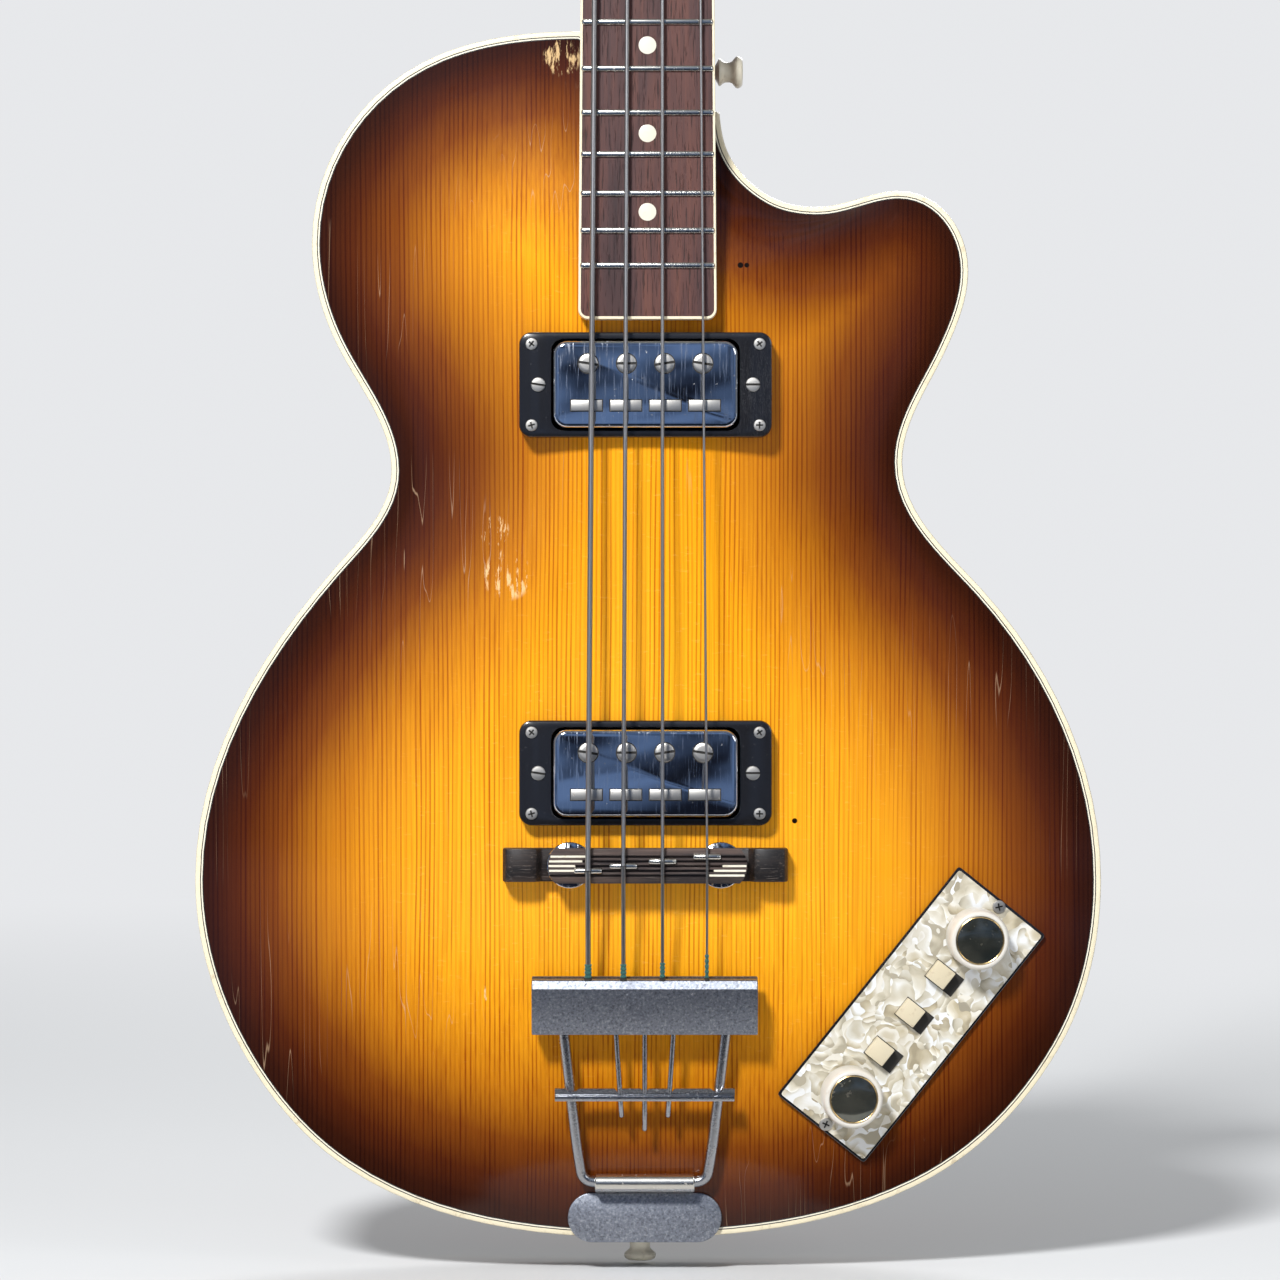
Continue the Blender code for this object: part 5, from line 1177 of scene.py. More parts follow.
def strings():
    silk_reach = {"e": 9.5, "a": 9.5, "d": 10.0, "g": 13.0}
    for letter in STRINGS:
        radius = STRING_DIAMETER[letter] / 2 * MM
        ball, saddle, zero, nut, wraps = string_points(letter)
        crest = saddle + Vector((0, -0.12 * MM, 0))
        line = (saddle - zero).normalized()
        middle = [zero.lerp(saddle, step / 24) for step in range(24)]
        points = wraps[::-1] + [nut.lerp(wraps[0], 0.5), nut] + middle + [saddle - line * 1.5 * MM, crest]
        string = flex_string(f"string_{letter}_length", points, radius, "root")
        string.parent = None
        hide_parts(f"string_{letter}")
        tuple(zero)
        tuple(saddle)
        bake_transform(string)
        fall = (ball - saddle).normalized()
        run = (ball - saddle).length
        points = [crest, saddle + fall * 1.5 * MM] + [saddle + fall * run * step / 6 for step in range(1, 7)]
        flex_string(f"string_{letter}_tail", points, radius, "tailpiece")
        reach = silk_reach[letter] * MM
        steps = range(37)
        path = [ball - fall * (reach * (1 - step / 36)) for step in steps]
        thick = [0.22 + 0.12 * math.sin(step * 1.15) + 0.05 * math.sin(step * 2.9) for step in steps]
        size = [radius + part * MM for part in thick]
        size[0] = radius + 0.03 * MM
        wound = tube(path, size, 12, uv="wound")
        finished(f"silk_{letter}", wound, "silk", WORLD, "tailpiece", "string_steel", unit=1, angle=80)
        ball_end = softened(moved(rod(2.3, -2.1, 2.1, 20), turn(90, "Y")), 0.4)
        place = TAIL @ millimetres(SADDLE_X[letter] - HINGE_X, BALL_Y - 0.7)
        finished(f"ball_{letter}", ball_end, "brass", place, "tailpiece", "nickel")


def pickup(word):
    place = FRONT @ millimetres(PICKUP_X, PICKUP_Y[word], TOP_ARCH)
    body = f"{word}_pickup"
    lid = 5.3 + PICKUP_STANDS[word]
    outer = rounded(91.5, 38, 4.5)
    well = rounded(68.2, 33, 4.2)
    columns = [at_level(outer, -5), at_level(outer, 4.3)]
    columns += [at_level(outer, 5.0, 0.9955, 0.989), at_level(outer, 5.3, 0.985, 0.966)]
    columns += [at_level(well, 5.3, 1.008, 1.015), at_level(well, 5.0), at_level(well, -5)]
    ring = lofted(columns, closed=True)
    finished(f"{word}_surround", ring, "black_plastic", place, "root", "black_plastic", [f"{body}_ring"], 40)
    corners = [(sx * 41.2, sy * 14.7, 5.25) for sx in (-1, 1) for sy in (-1, 1)]
    screws(f"{word}_surround_screws", corners, 2.15, 0.7, 0.6, place)
    heights = [(sx * 38.8, 0, 5.2) for sx in (-1, 1)]
    screws(f"{word}_height_screws", heights, 2.6, 0.9, 0.8, place, cross=False)

    cover = []
    for grow, level in ((0, -13), (0, -1.5), (-0.25, -0.75), (-0.75, -0.22), (-1.5, 0)):
        cover.append(at_level(rounded(66.7 + 2 * grow, 31.5 + 2 * grow, 5 + grow * 0.7, 9), lid + level))
    finished(f"{word}_cover", lofted(cover), "chrome", place, body, "chrome", [f"{body}_cover"], 40)
    pole_y, blade_y = 7.5, -7.7
    dark_gap_boxes = []
    poles = []
    blades = []
    for number in (-1.5, -0.5, 0.5, 1.5):
        pole, blade = number * 13.8, number * 14.2
        # Painted shade: thin dark discs and plates round the poles and blades stand for the shade in the
        # cover's gaps
        dark_gap_boxes.append(moved(rod(3.85, 0, 0.05, 28), shift(pole, pole_y, lid)))
        dark_gap_boxes.append(box(11.9, 4.5, 0.06, (blade, blade_y, lid)))
        poles.append((pole, pole_y, lid - 0.3))
        blades.append(softened(box(11.3, 3.9, 2.4, (blade, blade_y, lid - 0.65)), 0.25))
    finished(f"{word}_pole_gap_shade", joined(*dark_gap_boxes), "painted_recess_shade", place, body, "black_plastic")
    screws(f"{word}_pole_screws", poles, 3.5, 0.75, 0.9, place, body, cross=False)
    finished(f"{word}_blades", joined(*blades), "screw_steel", place, body, "nickel", [f"{body}_core"])


def bridge_foot(place):
    half = 51.5
    dip = half - 14
    right = [(half, -6), (half, 5.6), (half - 1.2, 8.0), (half - 4, 9)]
    right += [(dip + 4, 9), (dip + 1.8, 8.3), (dip, 4.6)]
    left = [(-x, y) for x, y in right[::-1]]
    base = moved(slab(left[-1:] + right + left[:-1], -6, 6), turn(90, "X"))
    softened(base, 0.5, 2, 20)
    finished("bridge_foot", base, "ebony", place, "root", "ebony", ["bridge_base"])
    studs = [moved(rod(2, 3, 10.6, 20), shift(side * STUD_SPREAD)) for side in (-1, 1)]
    finished("bridge_studs", joined(*studs), "brass", place, "root", "nickel")


def bridge_deck(place, top_face, underside):
    """The top with its five grooves, lower along the tail side, and the white strips in the grooves."""
    middle = -BRIDGE_X
    spread = math.degrees(math.asin(6.3 / DECK_ROUND))
    right = arc(DECK_ROUND, -spread, spread, 16, STUD_SPREAD + middle)
    deck = slab(right + [(2 * middle - x, y) for x, y in right[::-1]], underside, top_face)
    grooves = [(2 - number) * GROOVE_STEP for number in range(5)]
    for y in grooves:
        for edge in (y - GROOVE_HALF, y + GROOVE_HALF):
            cut_across(deck, (0, edge, 0), (0, 1, 0))
    slope_at = -4.0
    cut_across(deck, (0, slope_at, 0), (0, 1, 0))
    deck.normal_update()
    sunk = []
    for face in deck.faces:
        centre = face.calc_center_median()
        if face.normal.z > 0.9 and any(abs(centre.y - y) < 0.3 for y in grooves):
            sunk.append(face)
    sink(deck, sunk, 1.6)
    for vert in deck.verts:
        if vert.co.z > top_face - 0.1 and vert.co.y < slope_at:
            vert.co.z -= 1.1 * min(1, (slope_at - vert.co.y) / 2.3)
    finished("bridge_deck", deck, "worn_ebony", place, "bridge_top", "ebony", ["bridge_top"])
    strips = []
    bass = ((-1, 0, 12.7), (-1, 1, 12.0), (-1, 2, 9.6), (-1, 3, 9.2))
    for side, number, length in (*bass, (1, 2, 8.6), (1, 3, 11.6), (1, 4, 12.7)):
        y = grooves[number]
        end = STUD_SPREAD + math.sqrt(DECK_ROUND**2 - y * y) - 0.3
        x = side * (end - length / 2) - BRIDGE_X
        strips.append(softened(box(length, 0.78, 2.2, (x, y, top_face - 0.95)), 0.12, 1))
    finished("bridge_strips", joined(*strips), "white_line", place, "bridge_top", "ivory")


def fret_saddles(place, top_face):
    section = [(-0.35, -1.9), (0.35, -1.9), (0.35, 0.05), (1.15, 0.1), (1.2, 0.5), (0.8, 1.2), (0.3, 1.5)]
    section += [(-0.3, 1.5), (-0.8, 1.2), (-1.2, 0.5), (-1.15, 0.1), (-0.35, 0.05)]
    for letter in STRINGS:
        x = SADDLE_X[letter] - BRIDGE_X
        y = SADDLE_Y[letter] - BRIDGE_Y
        rings = []
        for end, size in ((-4.9, 0.82), (-4.55, 1), (4.55, 1), (4.9, 0.82)):
            ring = [(y + py * size, pz * size if pz > 0 else pz) for py, pz in section]
            rings.append([(x + end, along, top_face + up) for along, up in ring])
        name = f"saddle_{letter}"
        finished(f"fret_{name}", lofted(rings), "fret_nickel", place, "bridge_top", "nickel", [name], 40)
        # Painted shade: a dark rod in the saddle's notch under the string stands for the shade there
        notch = moved(rod(STRING_DIAMETER[letter] * 0.62, -1.25, 1.25, 14), turn(90, "X"))
        moved(notch, shift(x, y, top_face + 1.5))
        finished(f"saddle_notch_shade_{letter}", notch, "painted_recess_shade", place, "bridge_top", "nickel")


def bridge():
    place = FRONT @ millimetres(BRIDGE_X, BRIDGE_Y, TOP_ARCH)
    top_face = SADDLE_TOP - 1.5 - TOP_ARCH
    underside = top_face - 5.4
    bridge_foot(place)
    bridge_deck(place, top_face, underside)
    fret_saddles(place, top_face)
    wheel_top = underside - 0.3
    for side, word in ((-1, "bass"), (1, "treble")):
        rings = []
        rim = WHEEL_RADIUS
        for size, level in ((2.4, -2.6), (8.0, -2.6), (rim, -2.2), (rim, -0.4), (8.0, 0), (2.4, 0)):
            ring = []
            for step in range(96):
                reach = size - (0.16 if size == rim and step % 2 else 0)
                angle = math.tau * step / 96
                ring.append((reach * math.cos(angle), reach * math.sin(angle), wheel_top + level))
            rings.append(ring)
        wheel = lofted(rings, closed=True)
        at = place @ millimetres(side * STUD_SPREAD)
        node = [f"thumbwheel_{word}"]
        finished(f"{word}_height_wheel", wheel, "chrome", at, f"wheel_{word}", "chrome", node, 50)


def bent_path(points, radius, steps=6):
    """A path through points with its corners rounded."""
    points = [Vector(point) for point in points]
    path = points[:1]
    for before, here, after in zip(points, points[1:], points[2:]):
        reach = min(radius, (here - before).length * 0.45, (after - here).length * 0.45)
        a = here + (before - here).normalized() * reach
        c = here + (after - here).normalized() * reach
        for step in range(steps + 1):
            t = step / steps
            path.append(a.lerp(here, t).lerp(here.lerp(c, t), t))
    return path + points[-1:]


def string_bar():
    """The bar: a long section pulled across, with a dark box of painted shade in the notch under each string.
    """
    near, far = BAR_NEAR, BAR_FAR
    section = [(near, -4), (near, 3.3), (near + 0.2, 3.8), (near + 0.7, 4), (far - 2.9, 4), (far - 0.3, 2.5)]
    section += [(far, 2.0), (far, -0.1), (far - 1.2, -0.1), (far - 1.5, 1.8), (far - 3.2, 2.6)]
    section += [(near + 1.5, 2.6), (near + 1.5, -2.5), (far, -2.5), (far, -4)]
    middle = (near + far) / 2
    rings = []
    for x, size in ((-40.75, 0.97), (-40.45, 1), (40.45, 1), (40.75, 0.97)):
        rings.append([(x, (y - middle) * size + middle, z * size) for y, z in section])
    on_tail("string_bar", lofted(rings), "speckled_nickel", ["tailpiece_bar"], 25)
    dark_notch_boxes = []
    for letter in STRINGS:
        # Painted shade: a dark box in each notch stands for the shade where the string goes in
        place = (SADDLE_X[letter] - HINGE_X, far - 0.9, 0.95)
        dark_notch_boxes.append(softened(box(STRING_DIAMETER[letter] + 0.8, 2.6, 3.2, place), 0.3))
    on_tail("bar_notch_shade", joined(*dark_notch_boxes), "painted_recess_shade")


def brace(reach):
    """The cross bar with its notched flange, and the three rods that run on to the string bar."""
    level = 2.1
    lower = softened(box(65, 2.0, 1.6, (0, 32.9, level + 2.0)), 0.3)
    points = []
    for step in range(131):
        x = -32.5 + step * 0.5
        dips = ((26.4, 2.6), (0, 1.3), (9.4, 1.3))
        dip = sum(max(0, 1 - ((abs(x) - middle) / half) ** 2) for middle, half in dips)
        points.append((x, 36.2 - 1.5 * min(1, dip)))
    flange = slab([(-32.5, 33.4), *points, (32.5, 33.4)], level, level + 1.1)
    on_tail("brace_bar", joined(lower, flange), "nickel", ["tailpiece_brace"])
    rods = []
    for high_x, low_x, low_y in ((-10.4, -8.4, 26), (0, 0, 21), (10.4, 8.4, 26)):
        high = Vector((high_x, reach, level + 0.6))
        low = Vector((low_x, low_y, level + 0.6))
        tip = (low - high).normalized()
        path = [high.lerp(low, step / 6) for step in range(7)] + [low + tip * 0.45, low + tip * 0.7]
        rods.append(tube(path, [0.95] * 7 + [0.7, 0.3], 12))
    on_tail("brace_rods", joined(*rods), "nickel", angle=50)


def hinge_plate():
    """The plate under the barrel, its lip over the body's edge and the two screws there."""
    leaf = slab(rounded(56, 18, 8.95, 12, (HINGE_X, HINGE_Y - 13)), -1.2, 2.2)
    softened(leaf, 0.35, 2, 50)
    finished("hinge_leaf", leaf, "speckled_nickel", FRONT, "root", "nickel", ["tailpiece_hinge_plate"])
    path = ((14.5, 1.4, 1.1), (11.3, 1.4, 1.1), (9.9, 1.0, 0.6))
    path += ((9.35, -0.4, 0.6), (9.35, -12, 0.6), (9.35, -30, 0.6))
    rings = []
    for x, thick in ((-18.6, 1.05), (-18.2, 1.2), (16.2, 1.2), (16.6, 1.05)):
        inner = [(x, y + thick, z - drop) for y, z, drop in path]
        rings.append([(x, y, z) for y, z, _ in path] + inner[::-1])
    finished("hinge_lip", lofted(rings), "speckled_nickel", FRONT, "root", "nickel")
    for side, word in ((-1, "bass"), (1, "treble")):
        where = shift(HINGE_X + side * 13, 9.4, -21) @ turn(90, "X")
        head = moved(screw_head(2.4, 1.1, 0.6, True), where)
        finished(f"hinge_screw_{word}", head, "nickel", FRONT, "root", "nickel")


def tailpiece():
    reach = BAR_NEAR + 1.2
    string_bar()
    path = bent_path([(-29.4, reach, 0), (-24.6, 13.5, 0), (-22.6, 1.2, 0), (-15, 0, 0)], 9)
    path += [Vector((-p.x, p.y, p.z)) for p in path[::-1]]
    on_tail("bail_wire", tube(path, 2.0, 16), "nickel", ["tailpiece_frame"], 50)
    profile = [(2.2, -18), (3.1, -18), (3.4, -17.6), (3.4, 17.6), (3.1, 18), (2.2, 18), (2.2, -18)]
    on_tail("hinge_barrel", moved(turned(profile, 28), turn(90, "Y")), "fret_nickel")
    on_tail("barrel_seam", softened(box(35.6, 0.9, 0.5, (0, -1.7, 2.95)), 0.2, 1), "nickel")
    brace(reach)
    hinge_plate()


def strap_button(word, at, outward):
    profile = [(0, -3), (5, -0.3), (5, 0.3), (4.2, 1.1), (3.75, 2.0), (3.7, 3.6), (3.95, 4.4), (4.9, 5.2)]
    profile += [(5.7, 5.9), (5.9, 6.5), (5.8, 7.2), (5.3, 7.9), (4.6, 8.35), (2.6, 8.45), (2.4, 8), (0, 8)]
    place = FRONT @ millimetres(*at) @ outward
    button = turned(profile, 40)
    node = [f"{word}_strap_button"]
    finished(f"{word}_button", button, "cream_plastic", place, "root", "cream_plastic", node, 50)
    screw = moved(screw_head(2.2, 0.45, 0.6), shift(z=8.02))
    finished(f"{word}_button_screw", screw, "nickel", place, "root", "nickel")


def facing(x_axis, y_axis, z_axis):
    """A turn to the three given directions."""
    return Matrix((x_axis, y_axis, z_axis)).transposed().to_4x4()


def control_matrix():
    """The control panel's place: on the top's slope, with its long side leaning."""
    x, y = PANEL_AT
    step = 2
    slope_x = (arch_height(x + step, y) - arch_height(x - step, y)) / (2 * step)
    slope_y = (arch_height(x, y + step) - arch_height(x, y - step)) / (2 * step)
    normal = Vector((-slope_x, -slope_y, 1)).normalized()
    lean = math.radians(PANEL_LEAN)
    long_axis = Vector((math.sin(lean), math.cos(lean), 0))
    long_axis = (long_axis - normal * long_axis.dot(normal)).normalized()
    return FRONT @ millimetres(x, y, arch_height(x, y)) @ facing(long_axis.cross(normal), long_axis, normal)


def on_panel(u, v):
    """The place in plan of a spot along and across the panel."""
    lean = math.radians(PANEL_LEAN)
    x = PANEL_AT[0] + u * math.sin(lean) + v * math.cos(lean)
    y = PANEL_AT[1] + u * math.cos(lean) - v * math.sin(lean)
    return x, y


def bent_sheet(width, length, low, high, corner):
    """An oblong sheet that follows the arch, from low to high above the top."""
    bm = slab(rounded(width, length, corner, 2), 0, 1)
    for axis, reach in (((0, 1, 0), length), ((1, 0, 0), width)):
        for cut in range(-50, 51, 5):
            if abs(cut) < reach / 2:
                cut_across(bm, Vector(axis) * cut, axis)
    for vert in bm.verts:
        x, y = on_panel(vert.co.y, vert.co.x)
        vert.co = (x, y, arch_height(x, y) + 0.3 + (high if vert.co.z > 0.5 else low))
    return bm


def controls():
    core = softened(bent_sheet(40.5, 106, -2.0, 1.75, 1.0), 0.3, 1, 50)
    finished("panel_core", core, "black_plastic", FRONT, "root", "black_plastic", ["control_plate"])
    finished("panel_face", bent_sheet(38.7, 104.1, 0.5, 2.0, 0.8), "pearl", FRONT, "root", "pearl")
    control = control_matrix()

    def lift(u):
        """Height of the panel's face over the control plane, on its long middle line."""
        x, y = on_panel(u, 0)
        return (control.inverted() @ (FRONT @ (Vector((x, y, arch_height(x, y) + 2.3)) * MM))).z / MM

    ends = [(0.3, u, lift(u)) for u in (-50.5, 50.5)]
    screws("panel_screws", ends, 2.4, 0.85, 0.65, control)
    ring = [(0, 0), (10.3, 0), (10.8, 0.4), (10.9, 1.5), (10.85, 10.6), (10.55, 11.7), (9.9, 12.4)]
    ring += [(9.3, 12.5), (8.95, 12.35), (8.75, 11.6), (8.7, 11.0), (0, 11.0)]
    cap = [(0, 11.05), (8.3, 11.05), (8.55, 11.5), (8.3, 12.0), (6.8, 12.35), (4.4, 12.62)]
    cap += [(2.0, 12.76), (0, 12.8)]
    rim = [(8.25, 11.4), (8.7, 11.4), (8.72, 12.2), (8.5, 12.32), (8.28, 12.2), (8.25, 11.4)]
    for knob, u in (("upper_knob", KNOB_OFFSET), ("lower_knob", -KNOB_OFFSET)):
        place = control @ millimetres(0, u, lift(u) + 1.0)
        for part, profile, look, slot, node, angle in (
            ("ring", ring, "knob_white", "cream_plastic", [knob], 45),
            ("mirror", cap, "mirror_cap", "mirror_cap", [f"{knob}_cap"], 40),
            ("rim", rim, "brass", "nickel", (), 50),
        ):
            finished(f"{knob}_{part}", turned(profile, 56), look, place, knob, slot, node, angle)
    for number, u in enumerate(SLIDER_STATIONS, 1):
        name = f"slider_{number}"
        place = control @ millimetres(-1.6, u, 2.8)
        cap = softened(box(7.8, 7.5, 4.4, (0, 0, 1.2)), 0.35)
        finished(f"{name}_cap", cap, "slider_plastic", place, name, "cream_plastic", [f"switch_{name}"])
        # Painted shade: a dark plate under the slider stands for the shade in its slot
        slot = box(12.4, 8.1, 0.25, (2.2, 0, -0.45))
        finished(f"{name}_slot", slot, "painted_recess_shade", place, "root", "black_plastic")


# Neck, headstock and tuners

HEAD_HALF = ((21.5, 0), (24, 8), (34, 26), (35, 60), (36.5, 100), (39.5, 140), (30, 165), (12, 172), (0, 178))
NECK_DEPTH = (
    (-22, 10), (-7.5, 14.5), (20, 14.5), (200, 16.2), (395, 18.2), (415, 26.4),
    (429, 34), (441, 43), (452, 48.4), (470, 48.6), (520, 48.6),
)
NECK_HALF = ((-22, 18), (-7.5, 20.9), (20, 21.3), (395, 23.8), (452, 24), (470, 24), (520, 24))
GEAR_LEVEL = -23.1
KEY_OFFSET = -11.7
GEAR_TEETH = 14


def smooth_through(stations, at):
    """A value read from a soft curve through (place, value) stations."""
    number = max(i for i in range(len(stations) - 1) if stations[i][0] <= at or i == 0)
    near = stations[max(0, number - 1): number + 3]
    slopes = [(b[1] - a[1]) / (b[0] - a[0]) for a, b in zip(near, near[1:])]
    k = 1 if number else 0
    (x0, y0), (x1, y1) = stations[number], stations[number + 1]
    leave = (slopes[k - 1] + slopes[k]) / 2 if k else slopes[0]
    arrive = (slopes[k] + slopes[k + 1]) / 2 if k + 1 < len(slopes) else slopes[k]
    run = x1 - x0
    return hermite((at - x0) / run, y0, y1, run * leave, run * arrive)


def neck_ring(distance, steps=24):
    """A section of the shaft: flat under the board, round at the back."""
    half = smooth_through(NECK_HALF, distance)
    depth = smooth_through(NECK_DEPTH, distance)
    edge = min(3, depth * 0.25)
    ring = [(-half, -distance, -5.7)]
    for step in range(steps + 1):
        angle = math.pi * (1 - step / steps)
        x = half * math.copysign(abs(math.cos(angle)) ** 0.7, math.cos(angle))
        ring.append((x, -distance, -5.7 - edge - (depth - edge) * math.sin(angle) ** 0.8))
    return ring + [(half, -distance, -5.7)]


def head_points():
    """The headstock's plan, with its long curves softened."""
    right = [Vector(p) for p in HEAD_HALF]
    points = []
    for i, (a, b) in enumerate(zip(right, right[1:])):
        before = right[i - 1] if i else a
        after = right[i + 2] if i + 2 < len(right) else b
        points += [hermite(step / 4, a, b, (b - before) * 0.5, (after - a) * 0.5) for step in range(4)]
    return mirrored([(p.x, p.y) for p in points] + [HEAD_HALF[-1]])


def neck_wood():
    """The shaft cut along the body's edge, its tongue under the board, and the headstock."""
    stations = [-22, -15, -7.5, 0, 20] + list(range(50, 380, 30)) + list(range(380, 516, 6))
    shaft = lofted([neck_ring(d) for d in stations])
    (bass_x, bass_y), (treble_x, treble_y) = OUTLINE[0][:2], OUTLINE[-1][:2]
    joint = Vector((treble_x - bass_x, treble_y - bass_y, 0)).normalized()
    at = (bass_x, bass_y - NUT_Y + 0.4, 0)
    made = cut_across(shaft, at, (joint.y, -joint.x, 0), 0, True)["geom_cut"]
    bmesh.ops.contextual_create(shaft, geom=[item for item in made if isinstance(item, bmesh.types.BMEdge)])
    rings = []
    for distance in range(458, 521, 4):
        deep = -8.6 - (distance - 458) * 0.055
        section = ((-23.8, deep), (-23.8, -5.6), (23.8, -5.6), (23.8, deep))
        rings.append([(x, -distance, z) for x, z in section])
    tongue = lofted(rings)
    head = softened(slab(head_points(), -15.8, -1.5), 1.2, 3, 50)
    moved(head, shift(0, 7.5, -4.3) @ turn(-13, "X"))
    on_neck("neck_wood", joined(shaft, tongue, head), "maple", "maple", ["neck"], 40)


def neck_and_head():
    neck_wood()
    front = slab([(x * 0.998, max(y, 0.9)) for x, y in head_points() if y > 0], -1.5, 0)
    softened(front, 0.5, 2, 50)
    on_head("head_facing", front, "head_lacquer", "black_plastic", ["headstock_facing"])

    points = [(-21.2, -5.5), (21.2, -5.5), (21.2, 2.2), (20.6, 3.2)]
    for letter in reversed(STRINGS):
        width = STRING_DIAMETER[letter] / 2 + 0.25
        x = NUT_X[letter]
        points += [(x + width, 3.2), (x + width * 0.8, 1.1), (x - width * 0.8, 1.1), (x - width, 3.2)]
    points += [(-20.6, 3.2), (-21.2, 2.2)]
    nut = softened(moved(slab(points, -7.5, -3.5), turn(90, "X")), 0.18, 1, 50)
    on_neck("bone_nut", nut, "ivory", "ivory", ["nut"])

    half = [(7.2, 2.4), (8, 3.4), (7.6, 12.8), (6.9, 21.8), (5.6, 25.4), (2.6, 30.0), (0, 31.8)]
    cover = softened(slab(mirrored(half), 0.1, 1.7), 0.5, 1, 50)
    on_head("rod_cover", cover, "black_plastic", "black_plastic", ["truss_rod_cover"])
    spots = [(-5.6, 5, 1.7), (5.6, 5, 1.7), (0, 26.5, 1.7)]
    screws("rod_cover_screws", spots, 1.5, 0.5, 0.4, HEAD, look="nickel")


def worm():
    """The key's worm along Z: a core with one thread of two turns."""
    rings = []
    for step in range(57):
        angle = math.tau * step / 28
        height = 3.366 * (step / 28 - 1)
        crest = 3.2 + 1.6 * min(1, step / 5, (56 - step) / 5)
        ring = []
        for radius, offset in ((2.6, -0.75), (crest, -0.3), (crest, 0.3), (2.6, 0.75)):
            ring.append((radius * math.cos(angle), radius * math.sin(angle), height + offset))
        rings.append(ring)
    return joined(rod(3.1, -6.4, 6.4, 24), lofted(rings))


def gear():
    """The post's wheel, with a crest and a gap for each tooth."""
    teeth = []
    for tooth in range(GEAR_TEETH):
        for radius, share in ((6.4, -0.2415), (8.55, -0.0385), (8.55, 0.0385), (6.4, 0.2415)):
            angle = math.tau / GEAR_TEETH * (tooth + share)
            teeth.append((radius * math.cos(angle), radius * math.sin(angle)))
    return softened(slab(teeth, GEAR_LEVEL - 1.5, GEAR_LEVEL + 1.5), 0.15, 1, 60)


def tuner_strip(word, side, pair):
    """The plate under the headstock with a pair of lugs for each key."""
    middle = side * 22
    under = -17.4
    parts = [softened(slab(rounded(20.8, 95, 3, 5, (middle, 76.5)), under, under + 1.4), 0.3, 2, 50)]
    for letter in pair:
        x, y = POST_AT[letter]
        for reach in (-8.2, 8.2):
            shape = [(3.4, 6.0), (-3.4, 6.0)] + arc(3.4, 180, 360, 12, 0, -0.6)
            lug = softened(moved(slab(shape, -1.2, 1.2), turn(90, "Y") @ turn(90, "Z")), 0.25, 1, 50)
            parts.append(moved(lug, shift(x + reach, y + KEY_OFFSET, GEAR_LEVEL)))
    on_head(f"{word}_tuner_strip", joined(*parts), "nickel", "nickel", [f"tuner_plate_{word}"])
    spots = [(-middle - dx, y, 0) for y in (32, 78, 121) for dx in (-8, 8)]
    spots += [(-middle - 7, 66, 0), (-middle + 7, 66, 0)]
    flip = HEAD @ millimetres(z=under) @ turn(180, "Y")
    screws(f"{word}_strip_screws", spots, 1.7, 0.7, 0.45, flip, look="nickel", cross=False)


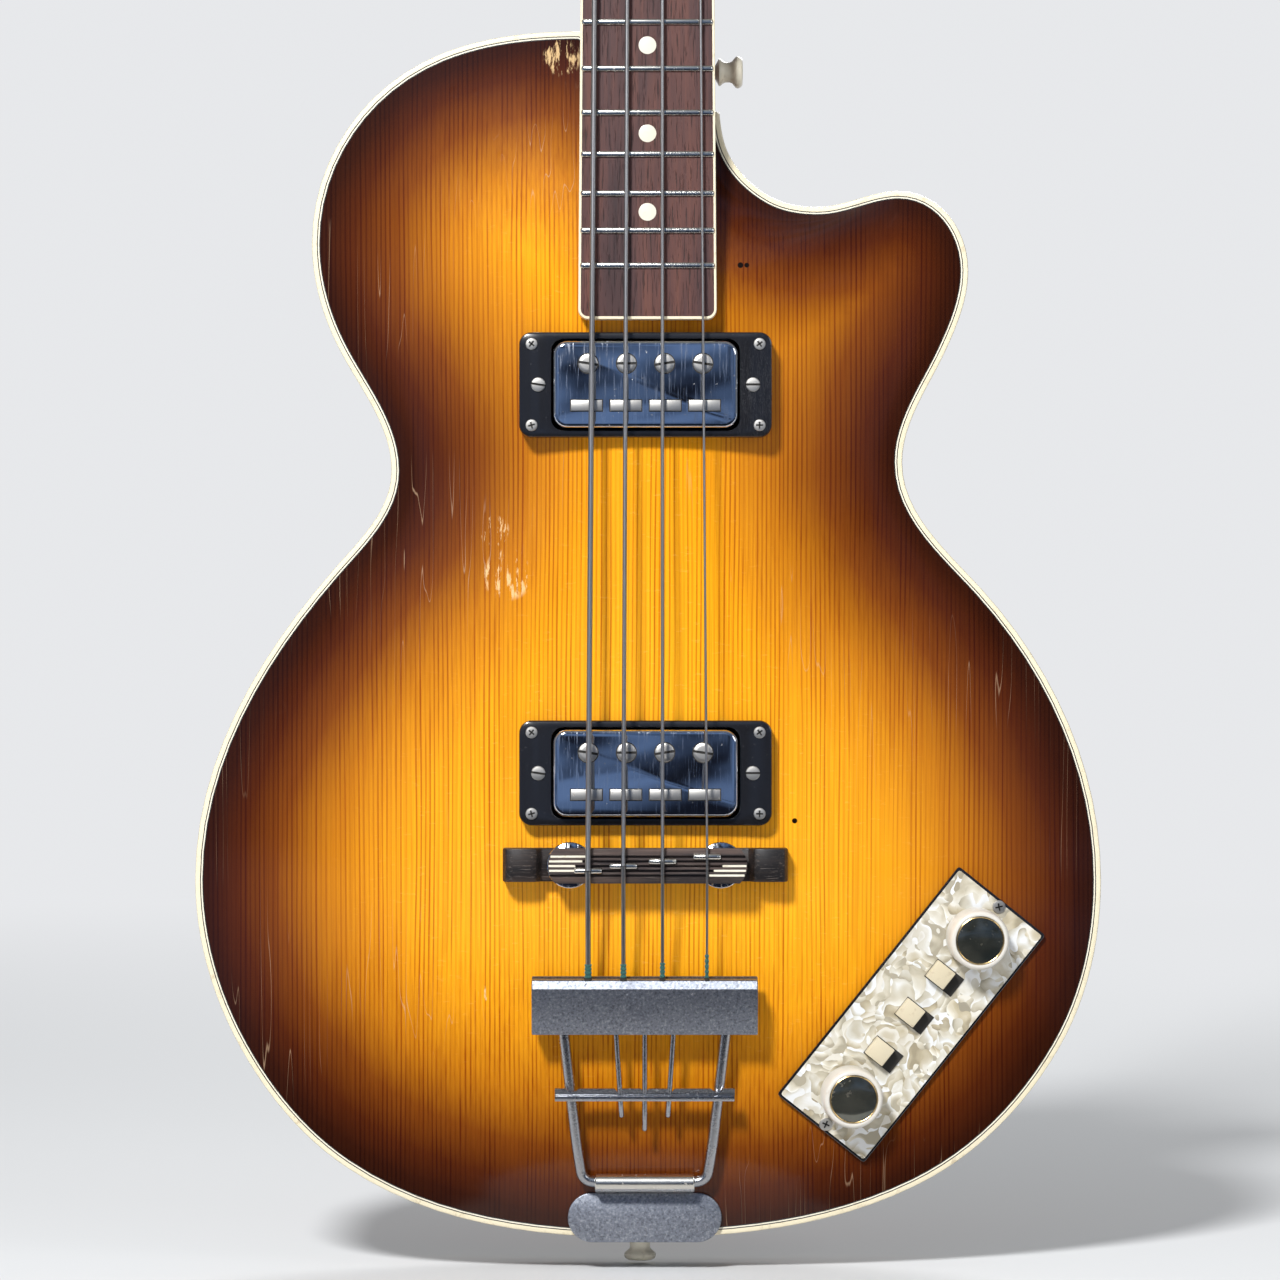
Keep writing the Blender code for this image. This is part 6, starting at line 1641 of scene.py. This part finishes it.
def tuner(letter):
    """A ferrule, a post with its wheel, and the key that turns it."""
    x, y = POST_AT[letter]
    at = HEAD @ millimetres(x, y)
    ferrule = turned([(4.85, 0), (7.2, 0), (7.2, 0.5), (6.6, 1.1), (5.2, 1.5), (4.85, 1.3), (4.85, 0)], 40)
    finished(f"{letter}_post_ferrule", ferrule, "nickel", at, slot="nickel", angle=50)
    shaft = [(0, -24), (4.4, -24), (4.4, 7.3), (4.2, 8.2), (4.2, 11), (4.45, 12.2)]
    shaft += [(4.5, 16), (4.2, 16.7), (3.6, 17), (0, 17)]
    end_screw = [(0, -26), (1.6, -25.9), (2.6, -25.4), (2.4, -24.6), (0, -24.6)]
    post = joined(turned(shaft, 32), turned(end_screw, 24), moved(gear(), turn(-90, "Z")))
    finished(f"{letter}_post", post, "nickel", at, f"post_{letter}", "nickel", [f"tuner_post_{letter}"], 40)
    # Painted shade: a dark rod through the post stands for the shade inside its string hole
    hole = moved(rod(1.5, -4.55, 4.55, 16), shift(0, 0, 14) @ turn(90, "X"))
    finished(f"{letter}_post_bore_shade", hole, "painted_recess_shade", at, f"post_{letter}", "nickel")

    stem = [(0, -10.5), (1.5, -10.5), (1.8, -10.1), (1.8, 19), (2.6, 20.2)]
    stem += [(3.1, 21.6), (2.9, 23.5), (2.2, 25.4), (0, 25.6)]
    button = [(0, -1.7), (5.5, -1.6), (8.4, -2.1), (9.8, -2.2), (10.5, -1.3)]
    button = turned(button + [(radius, -height) for radius, height in button[::-1]], 48)
    moved(button, shift(0, 0, 32) @ turn(90, "Y") @ Matrix.Diagonal((16 / 21, 1, 1, 1)))
    key = joined(moved(worm(), turn(-90, "Z")), turned(stem, 24), button)
    where = at @ millimetres(0, KEY_OFFSET, GEAR_LEVEL) @ turn(math.copysign(90, x), "Y")
    finished(f"{letter}_key", key, "nickel", where, f"key_{letter}", "nickel", [f"tuner_key_{letter}"], 40)


def jack():
    """The socket's round plate, hex nut and sleeve on the rib."""
    near, far = bezier(OUTLINE[10], OUTLINE[11], 3)[1:3]
    along = (far - near).normalized()
    out = Vector((along.y, -along.x, 0))
    up = Vector((0, 0, 1))
    middle = (near + far) / 2
    place = FRONT @ millimetres(middle.x, middle.y, -RIB_DEPTH / 2) @ facing(up.cross(out), up, out)
    profile = [(4.0, -1.0), (11.4, -1.0), (11.4, 1.2), (11.1, 1.6), (10.4, 1.75), (4.0, 1.75), (4.0, -1.0)]
    plate = turned(profile, 48)
    nut = softened(slab(arc(6.4, 0, 300, 5), 1.6, 1.8), 0.05, 1, 50)
    sleeve = turned([(3.3, -22), (4.7, -22), (4.7, 1.79), (3.9, 1.79), (3.3, 1.5), (3.3, -22)], 32)
    socket = joined(plate, nut, sleeve)
    finished("socket_plate", socket, "chrome", place, "root", "chrome", ["jack_socket"], 40)
    # Painted shade: a dark rod inside the sleeve stands for the shade deep in the socket
    finished("socket_bore_shade", rod(3.3, -20, -4, 24), "painted_recess_shade", place, "root", "chrome")


def carried_over():
    """Gives the CAD nodes that stay visible the material of their slot."""
    for row in frame["record"]["subparts"]:
        obj = bpy.data.objects.get(row["node"])
        if obj is not None and obj.type == "MESH":
            obj.data.materials.clear()
            obj.data.materials.append(LOOKS[row["material_slot"]])


stage_floor()
dark_card()
pale_room()
softboxes()
camera()
body()
fretted_neck()
strings()
pickup("neck")
pickup("bridge")
bridge()
tailpiece()
strap_button("tail", (-2.7, 8.5, -RIB_DEPTH / 2), turn(90, "X"))
strap_button("heel", (26.6, 437, -16), turn(90, "Y"))
controls()
neck_and_head()
tuner_strip("bass", -1, "ea")
tuner_strip("treble", 1, "gd")
for letter in STRINGS:
    tuner(letter)
jack()
carried_over()
